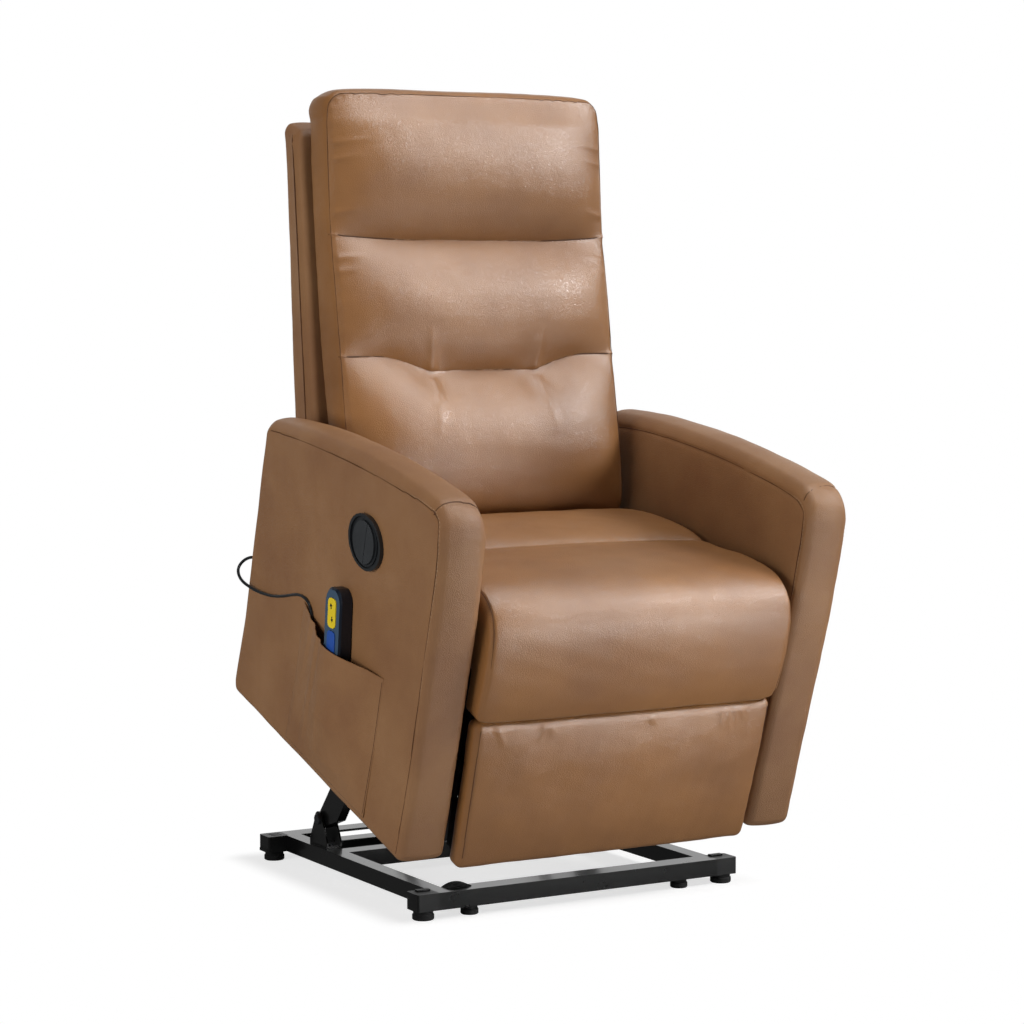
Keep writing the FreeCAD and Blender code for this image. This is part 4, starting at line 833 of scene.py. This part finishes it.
def arm_skin(side, sign):
    """Skin of an arm: flat sides with a slight crown, a padded top and rounded corners."""
    depth, height, thickness, radius = 624.0, 508.0, 75.0, 15.0
    block, faces = rounded_block((depth, height, thickness), radius, (9.0, 9.0, 8.0), square=True)
    run, climb = block[:, 0], block[:, 1]
    across = block[:, 2] / thickness
    place = arm_point(run / depth, climb / height, arm_foot[side])
    top_gap = np.minimum(run, height - climb)
    rim = np.minimum(np.minimum(top_gap, depth - run), climb)
    panel = 1 - np.exp(-np.clip(rim - radius, 0, None) / 55)
    x = arm_x(side, place[:, 1], across)
    x += np.where(across > 0.97, 1.6 * panel, 0) - np.where(across < 0.03, 3.0 * panel, 0)
    inward, raised = arm_rooms(side, place, across, climb / height)
    x -= inward
    place[:, 1] += raised
    crown = np.clip(1 - top_gap / radius, 0, 1) ** 0.6
    crown *= np.sin(math.pi * np.clip(across, 0, 1)) ** 0.8
    upward = share_of(climb, 300, height)
    upward = upward ** 2 * (3 - 2 * upward)
    place += unit(place - np.array([300, 250])) * (crown * (3.5 + 7.0 * upward))[:, None]
    low = share_of(climb, 14.0, 0)
    end = share_of(run, 14.0, 0) - share_of(depth - run, 14.0, 0)
    points = points_at(sign * x, place[:, 0] + 5.0 * low * end,
                       place[:, 1] + 5.0 * low * np.abs(end))
    name = "arm_" + side
    made = build(name + "_soft", points, [face[::sign] for face in faces], "chair",
                 leather_side, [name])
    subdivide(made)
    return made


def arm(side, sign):
    """Arm with a seam round each face, a seam across its front and rows of stitches."""
    name = "arm_" + side
    made = arm_skin(side, sign)
    for tag, line, share in (("outer", outer_seam, 1.0), ("inner", inner_seam, 0.0)):
        path = points_at(sign * arm_x(side, line[:, 1], share), line[:, 0], line[:, 1])
        seam(name + "_seam_" + tag, made, path, "chair", 1.5, 2.2, 0.75, (0.3, 33.0, 9.0))
    across = np.linspace(0.0, 1.0, 30)
    path = points_at(sign * arm_x(side, 544.0, across), 36 + 9 * across,
                     538 + 22 * np.sin(math.pi * across) ** 0.5)
    seam(name + "_seam_cross", made, path, "chair", 2.0, 2.4, 1.1)
    stitches(name + "_cross_stitch", made, path[2:-2] - [0, 4.0, 0], "chair", 6.0, 3.8)
    for tag, edge, share in (("edge", outer_seam[44:108], 1.0), ("inner", inner_seam[40:98], 0.0)):
        x = sign * arm_x(side, edge[:, 1], share)
        path = points_at(x, edge[:, 0] - 3.5, edge[:, 1] + 2.0)
        stitches(name + "_%s_stitch" % tag, made, path, "chair", 6.5, 4.0)
    swell(made, 0.7, 160.0, 21 if side == "left" else 22)


# Side pocket

pocket_front = 120.0
pocket_rear = 405.0
pocket_foot = 10.0


def pocket_mouth(y):
    """Height of the pocket's open edge, which sags between its ends."""
    return np.interp(y, [118, 150, 190, 250, 300, 345, 380, 405],
                     [243, 240, 236, 232, 231, 234, 241, 247])


def pocket_out(y, t, z):
    """How far the slack sheet stands off the arm; t runs from its foot to its mouth."""
    handset_y, narrow_folds_y, broad_folds_y = 260, 322, 180
    s = (y - pocket_front) / (pocket_rear - pocket_front)
    full = np.clip(z / 110, 0.1, 1)
    out = 4.0 + 6.0 * np.sin(math.pi * s) * full
    out += 22.0 * np.exp(-((y - handset_y) / 72.0) ** 2) * full ** 0.8 * (0.62 + 0.38 * t)
    narrow = np.sin((y + 0.12 * z) / 7.6) + 0.5 * np.sin((y + 0.2 * z) / 4.3 + 1.0)
    out += 1.9 * narrow * np.exp(-((y - narrow_folds_y) / 52.0) ** 2) * (0.2 + 0.8 * t)
    broad = np.sin((y - 0.30 * z) / 23.0 + 1.0)
    out += 1.6 * broad * np.exp(-((y - broad_folds_y) / 50.0) ** 2)
    ends = share_of(s, 0, 0.08) * share_of(s, 1, 0.95) * share_of(t, 0, 0.14)
    return np.maximum(2.0 + (out - 2.0) * ends ** 0.6, 2.0)


def pocket():
    """Sewn pouch on the left arm: a slack sheet with a hem and folds below the handset."""
    rows, cols, thickness = 130, 90, 1.6
    grid_y, grid_t = np.meshgrid(np.linspace(pocket_front, pocket_rear, rows),
                                 np.linspace(0, 1, cols), indexing="ij")
    y, t = grid_y.ravel(), grid_t.ravel()
    z = pocket_foot + (pocket_mouth(y) - pocket_foot) * t
    out = pocket_out(y, t, z)
    hem = 0.4 * np.exp(-((pocket_mouth(y) - z - 13.0) / 2.5) ** 2)
    outer = points_at(-arm_face("left", z) - out + hem, y, z)
    inner = points_at(-arm_face("left", z) - np.maximum(out - thickness, 0.4), y, z)
    total = rows * cols
    faces = []
    for i, j in np.ndindex(rows - 1, cols - 1):
        a = i * cols + j
        b = a + cols
        faces.append((a, a + 1, b + 1, b))
        faces.append((a + total, b + total, b + 1 + total, a + 1 + total))
    number = np.arange(total).reshape(rows, cols)
    rim = np.concatenate([number[:, 0], number[-1, 1:], number[-2::-1, -1], number[0, -2:0:-1]])
    for p, q in zip(rim.tolist(), np.roll(rim, -1).tolist()):
        faces.append((p, q, q + total, p + total))
    made = build("storage_pocket_soft", np.vstack([outer, inner]), faces, "chair", leather_side,
                 ["storage_pocket"])
    zs = np.linspace(pocket_foot + 6, 236, 70)
    side = points_at(-arm_face("left", zs) - 3.0, pocket_front + 2.5, zs)
    seam("pocket_side", made, side, "chair", 0, 1, 0.6)


# Handset cord

cord_route = [
    (-334.0, 631.0, 222.0), (-334.0, 646.0, 222.0), (-347.0, 656.0, 214.0),
    (-362.0, 649.0, 201.0), (-367.0, 623.0, 192.0), (-362.0, 588.0, 191.0),
    (-359.0, 548.0, 198.0), (-358.0, 506.0, 211.0), (-358.0, 462.0, 232.0),
    (-358.5, 422.0, 252.0), (-359.5, 384.0, 254.0), (-359.5, 362.0, 226.0),
    (-359.5, 356.0, 178.0), (-360.5, 343.0, 143.0), (-363.0, 310.0, 116.0),
    (-366.5, 268.0, 100.0), (-368.65, 232.60, 122.09), (-368.65, 238.84, 151.44),
]


def handset_cord():
    diameter = 0.005
    points = to_world(cord_route)
    curve = bpy.data.curves.new("handset_cord_line", "CURVE")
    curve.dimensions = "3D"
    spline = curve.splines.new("NURBS")
    spline.points.add(len(points) - 1)
    for point, place in zip(spline.points, points):
        point.co = (*place, 1.0)
    spline.order_u = 3
    spline.use_endpoint_u = True
    curve.resolution_u = 12
    curve.bevel_depth = diameter / 2
    curve.bevel_resolution = 4
    curve.use_fill_caps = True
    curve.materials.append(plastic)
    made = add_object("handset_cord_line", curve, "chair")
    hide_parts("handset_cord")


# Straps and cloth


def straps():
    """Elastic straps under the seat, which sag a little."""
    count, width, length = 5, 50.0, 466.0
    pitch = (2 * 249.0 - width) / count
    for index in range(count):
        block, faces = rounded_block((width, length, 2.0), 0.8, (6.0, 8.0, 1.0))
        x = (index - 2) * pitch - width / 2 + block[:, 0]
        y = 26 + block[:, 1]
        sag = 1.2 * np.sin(math.pi * share_of(y, 60, 460))
        rib = 0.25 * np.sin(block[:, 0] / 3.1 * 2 * math.pi) * (block[:, 2] > 1)
        points = points_at(x, y, 290.05 + block[:, 2] * 0.9 - sag + rib)
        made = build("seat_strap_%d" % index, points, faces, "chair", webbing,
                     ["seat_straps"] if index == 0 else ())


def painted_shade_strips():
    """Black strips between each side plate and the leg rest that fill the slot: painted shade
    where light would otherwise show through.
    """
    for tag, sign in sides:
        for part, body, low, high, front, rear in (
                ("upper", "chair", 143.5, 286.0, 20.5, 40.5),
                ("middle", "legrest", -6.0, 142.0, 20.0, 30.0),
                ("lower", "chair", -4.0, 79.0, 30.5, 40.5)):
            block, faces = rounded_block((3.0, rear - front, high - low), 1.2, (1.5, 4.0, 12.0))
            points = (block + [249.5, front, low]) * [sign, 1, 1]
            made = build("painted_shade_strip_%s_%s" % (part, tag), points, [f[::sign] for f in faces],
                         body, painted_shade_cloth)


def rear_cloth():
    """Black cloth behind the seat box, which closes the opening under a reclined back; its black
    is painted shade in that opening.
    """
    front, rear, top, foot, width = 491.0, 544.0, 291.0, 264.0, 494.0
    length = math.hypot(rear - front, top - foot)
    block, faces = rounded_block((width, length, 2.0), 0.9, (24.0, 6.0, 1.0))
    x = block[:, 0] - width / 2
    share = block[:, 1] / length * np.where(np.abs(x) > 240, 0.78, 1.0)
    points = points_at(x, front + (rear - front) * share,
                       top + (foot - top) * share + block[:, 2])
    made = build("rear_cloth", points, faces, "chair", painted_shade_cloth)
    for tag, sign in sides:
        block, faces = rounded_block((24.0, 90.0, 2.0), 0.9, (8.0, 15.0, 1.0))
        points = (block + [253, 470, 284]) * [sign, 1, 1]
        made = build("rear_cloth_" + tag, points, [f[::sign] for f in faces], "chair",
                     painted_shade_cloth)


# CAD nodes that stay in view


def key_marks():
    """Small raised arrows on the handset's up key, without lettering."""
    proud, sunk = 0.00025, 0.0003
    up_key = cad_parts["handset_up_key"]
    key = np.array([tuple(up_key.matrix_world @ v.co) for v in up_key.data.vertices])
    face = key[key[:, 0] < key[:, 0].min() + 0.0004]
    centre = (face.max(0) + face.min(0)) / 2
    up = unit(face[np.argmax(face[:, 2])] - face[np.argmin(face[:, 2])])
    across = unit(np.cross(up, [1.0, 0.0, 0.0]))
    arrow = [(0, 4.6), (4.2, -0.6), (1.5, -0.6), (1.5, -4.6), (-1.5, -4.6), (-1.5, -0.6),
             (-4.2, -0.6)]
    total = len(arrow)
    faces = [tuple(range(total)), tuple(range(2 * total - 1, total - 1, -1))]
    for n in range(total):
        after = (n + 1) % total
        faces.append((n, n + total, after + total, after))
    for index, (shift, turn) in enumerate(((0.011, 1.0), (-0.010, -1.0))):
        flat = np.array([centre + up * shift + (across * a + up * b * turn) / 1000
                         for a, b in arrow])
        points = np.vstack([flat - [proud, 0, 0], flat + [sunk, 0, 0]])
        add_mesh("key_mark_%d" % index, points, faces, "up_key", ink, smooth=False)


def dress_cad():
    """Procedural materials for the CAD nodes that stay in view."""
    finish = {
        black_paint: ["base_front_rail", "base_side_rail_right", "base_side_rail_left",
                      "base_rear_strip", "base_cross_front", "base_cross_rear", "lift_brackets",
                      "front_link_brackets", "lift_arm_right", "lift_arm_left",
                      "lift_torque_tube", "lift_crank", "front_links", "side_plate_right",
                      "side_plate_left", "cross_tubes", "legrest_bars", "legrest_torque_tube",
                      "legrest_control_bars", "legrest_couplers", "legrest_stays",
                      "legrest_brackets", "back_frame"],
        black_cast: ["base_corner_blocks", "lift_drive_housing", "recline_drive_housing",
                     "back_drive_housing"],
        rubber: ["base_feet", "rail_bumper", "cord_grommet"],
        zinc: ["lift_pivot_bolts", "mechanism_pins", "arm_spacers"],
        steel: ["lift_push_rod", "recline_push_rod", "back_push_rod"],
        plastic: ["lift_motor", "recline_motor", "back_motor", "control_box", "power_inlet",
                  "switch_bezel"],
        key_plastic: ["switch_rear_key", "switch_front_key"],
        slate: ["handset_case"],
        yellow: ["handset_up_key"],
        blue: ["handset_down_key"],
        navy: ["handset_heat_key"],
        timber: ["seat_frame", "legrest_board"],
    }
    for material, names in finish.items():
        for name in names:
            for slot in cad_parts[name].material_slots:
                slot.material = material


# Camera, floor and light


def ray(tree, kind):
    return node(tree, "ShaderNodeLightPath", {}, kind)


def white_world(scene):
    """White backdrop for the camera. For reflections it is bright behind the chair, and for
    all other light it is dim."""
    dim, mirrored = 0.042, 0.75
    view_direction = (0.5, 0.866, 0.0)
    world = bpy.data.worlds.new("world")
    scene.world = world
    world.use_nodes = True
    tree = world.node_tree
    seen = node(tree, "ShaderNodeMath", {0: ray(tree, "Is Camera Ray"),
                                         1: ray(tree, "Is Transmission Ray")},
                operation="MAXIMUM")
    behind = node(tree, "ShaderNodeVectorMath",
                  {0: place_in(tree, "Generated"), 1: view_direction}, "Value",
                  operation="DOT_PRODUCT")
    screen = node(tree, "ShaderNodeMapRange",
                  {"Value": behind, "From Min": 0.55, "From Max": 0.9, "To Max": mirrored},
                  interpolation_type="SMOOTHSTEP")
    shine = node(tree, "ShaderNodeMath", {0: ray(tree, "Is Glossy Ray"), 1: screen},
                 operation="MULTIPLY")
    most = node(tree, "ShaderNodeMath", {0: seen, 1: shine}, operation="MAXIMUM")
    strength = node(tree, "ShaderNodeMapRange", {"Value": most, "To Min": dim, "To Max": 1.0})
    plug(tree, tree.nodes["Background"], {"Strength": strength, "Color": grey(1.0)})


def floor_material():
    """White floor that keeps the object's shadow and fades to plain white round it."""
    shadow_area = (0.30, 0.295, 0.0)
    fade_width = 0.06
    material, tree, shader = new_material("floor")
    camera_ray = ray(tree, "Is Camera Ray")

    def emission(strength):
        return node(tree, "ShaderNodeEmission", {"Strength": strength})

    def mix(share, first, second):
        return node(tree, "ShaderNodeMixShader", {0: share, 1: first, 2: second})

    def by_camera(otherwise, seen):
        return node(tree, "ShaderNodeMapRange",
                    {"Value": camera_ray, "To Min": otherwise, "To Max": seen})

    def vector(operation, inputs, output=0):
        return node(tree, "ShaderNodeVectorMath", inputs, output, operation=operation)

    plug(tree, shader, {"Roughness": 0.9, "Base Color": by_camera(0.93, 0.48)})
    glow = mix(camera_ray, emission(0.0), emission(0.69))
    shadowed = node(tree, "ShaderNodeAddShader", {0: shader.outputs[0], 1: glow})
    apart = vector("SUBTRACT", {0: vector("ABSOLUTE", {0: place_in(tree)}), 1: shadow_area})
    beyond = vector("MAXIMUM", {0: apart, 1: (0.0, 0.0, 0.0)})
    away = node(tree, "ShaderNodeMapRange",
                {"Value": vector("LENGTH", {0: beyond}, "Value"), "From Max": fade_width},
                interpolation_type="SMOOTHSTEP")
    fade = mix(away, shadowed, emission(by_camera(0.5, 1.0)))
    mirrored = mix(ray(tree, "Is Glossy Ray"), fade, emission(0.07))
    plug(tree, tree.nodes["Material Output"], {"Surface": mirrored})
    return material


def add_floor(scene):
    half = 30.0
    mesh = bpy.data.meshes.new("floor")
    corners = [(-half, -half, 0), (half, -half, 0), (half, half, 0), (-half, half, 0)]
    mesh.from_pydata(corners, [], [(0, 1, 2, 3)])
    floor = bpy.data.objects.new("floor", mesh)
    scene.collection.objects.link(floor)
    mesh.materials.append(floor_material())


def add_camera(scene):
    """Camera of the photo, fitted to it."""
    elevation, azimuth, roll = math.radians(-4.377), math.radians(-29.936), math.radians(-0.098)
    data = bpy.data.cameras.new("camera")
    data.sensor_width = 36.0
    data.lens = 98.58
    data.clip_end = 100.0
    camera = bpy.data.objects.new("camera", data)
    turn = Euler((math.radians(90) + elevation, 0, azimuth)).to_matrix()
    turn = turn @ Matrix.Rotation(roll, 3, "Z")
    place = Vector((-2.265647, -4.000053, 0.948060))
    camera.matrix_world = Matrix.Translation(place) @ turn.to_4x4()
    scene.collection.objects.link(camera)
    scene.camera = camera


def area(name, place, target, size, power, spread=180.0, gloss=True):
    """Area lamp that shines on a target and isn't seen by the camera."""
    data = bpy.data.lights.new(name, "AREA")
    data.size = size
    data.energy = power
    data.spread = math.radians(spread)
    lamp = bpy.data.objects.new(name, data)
    lamp.location = place
    lamp.visible_camera = False
    lamp.visible_glossy = gloss
    way = Vector(target) - Vector(place)
    lamp.rotation_euler = way.to_track_quat("-Z", "Y").to_euler()
    bpy.context.scene.collection.objects.link(lamp)


def studio():
    scene = bpy.context.scene
    add_camera(scene)
    add_floor(scene)
    area("key", (3.2, -2.6, 3.0), (0.0, -0.1, 0.8), 1.3, 170.0)
    area("fill", (-3.8, -0.8, 1.1), (-0.2, 0.0, 0.6), 1.8, 92.0, gloss=False)
    area("top", (0.3, -0.9, 3.6), (0.0, 0.0, 0.6), 1.6, 62.0)
    area("low", (0.7, -1.6, 0.15), (0.0, -0.45, 0.28), 0.8, 2.0, spread=48.0)
    white_world(scene)
    scene.view_settings.view_transform = "Standard"


studio()
dress_cad()
for side, sign in sides:
    arm(side, sign)
seat_cushion()
back_cushion()
back_base()
back_shell()
back_flap()
leg_pad()
pocket()
handset_cord()
straps()
painted_shade_strips()
rear_cloth()
key_marks()
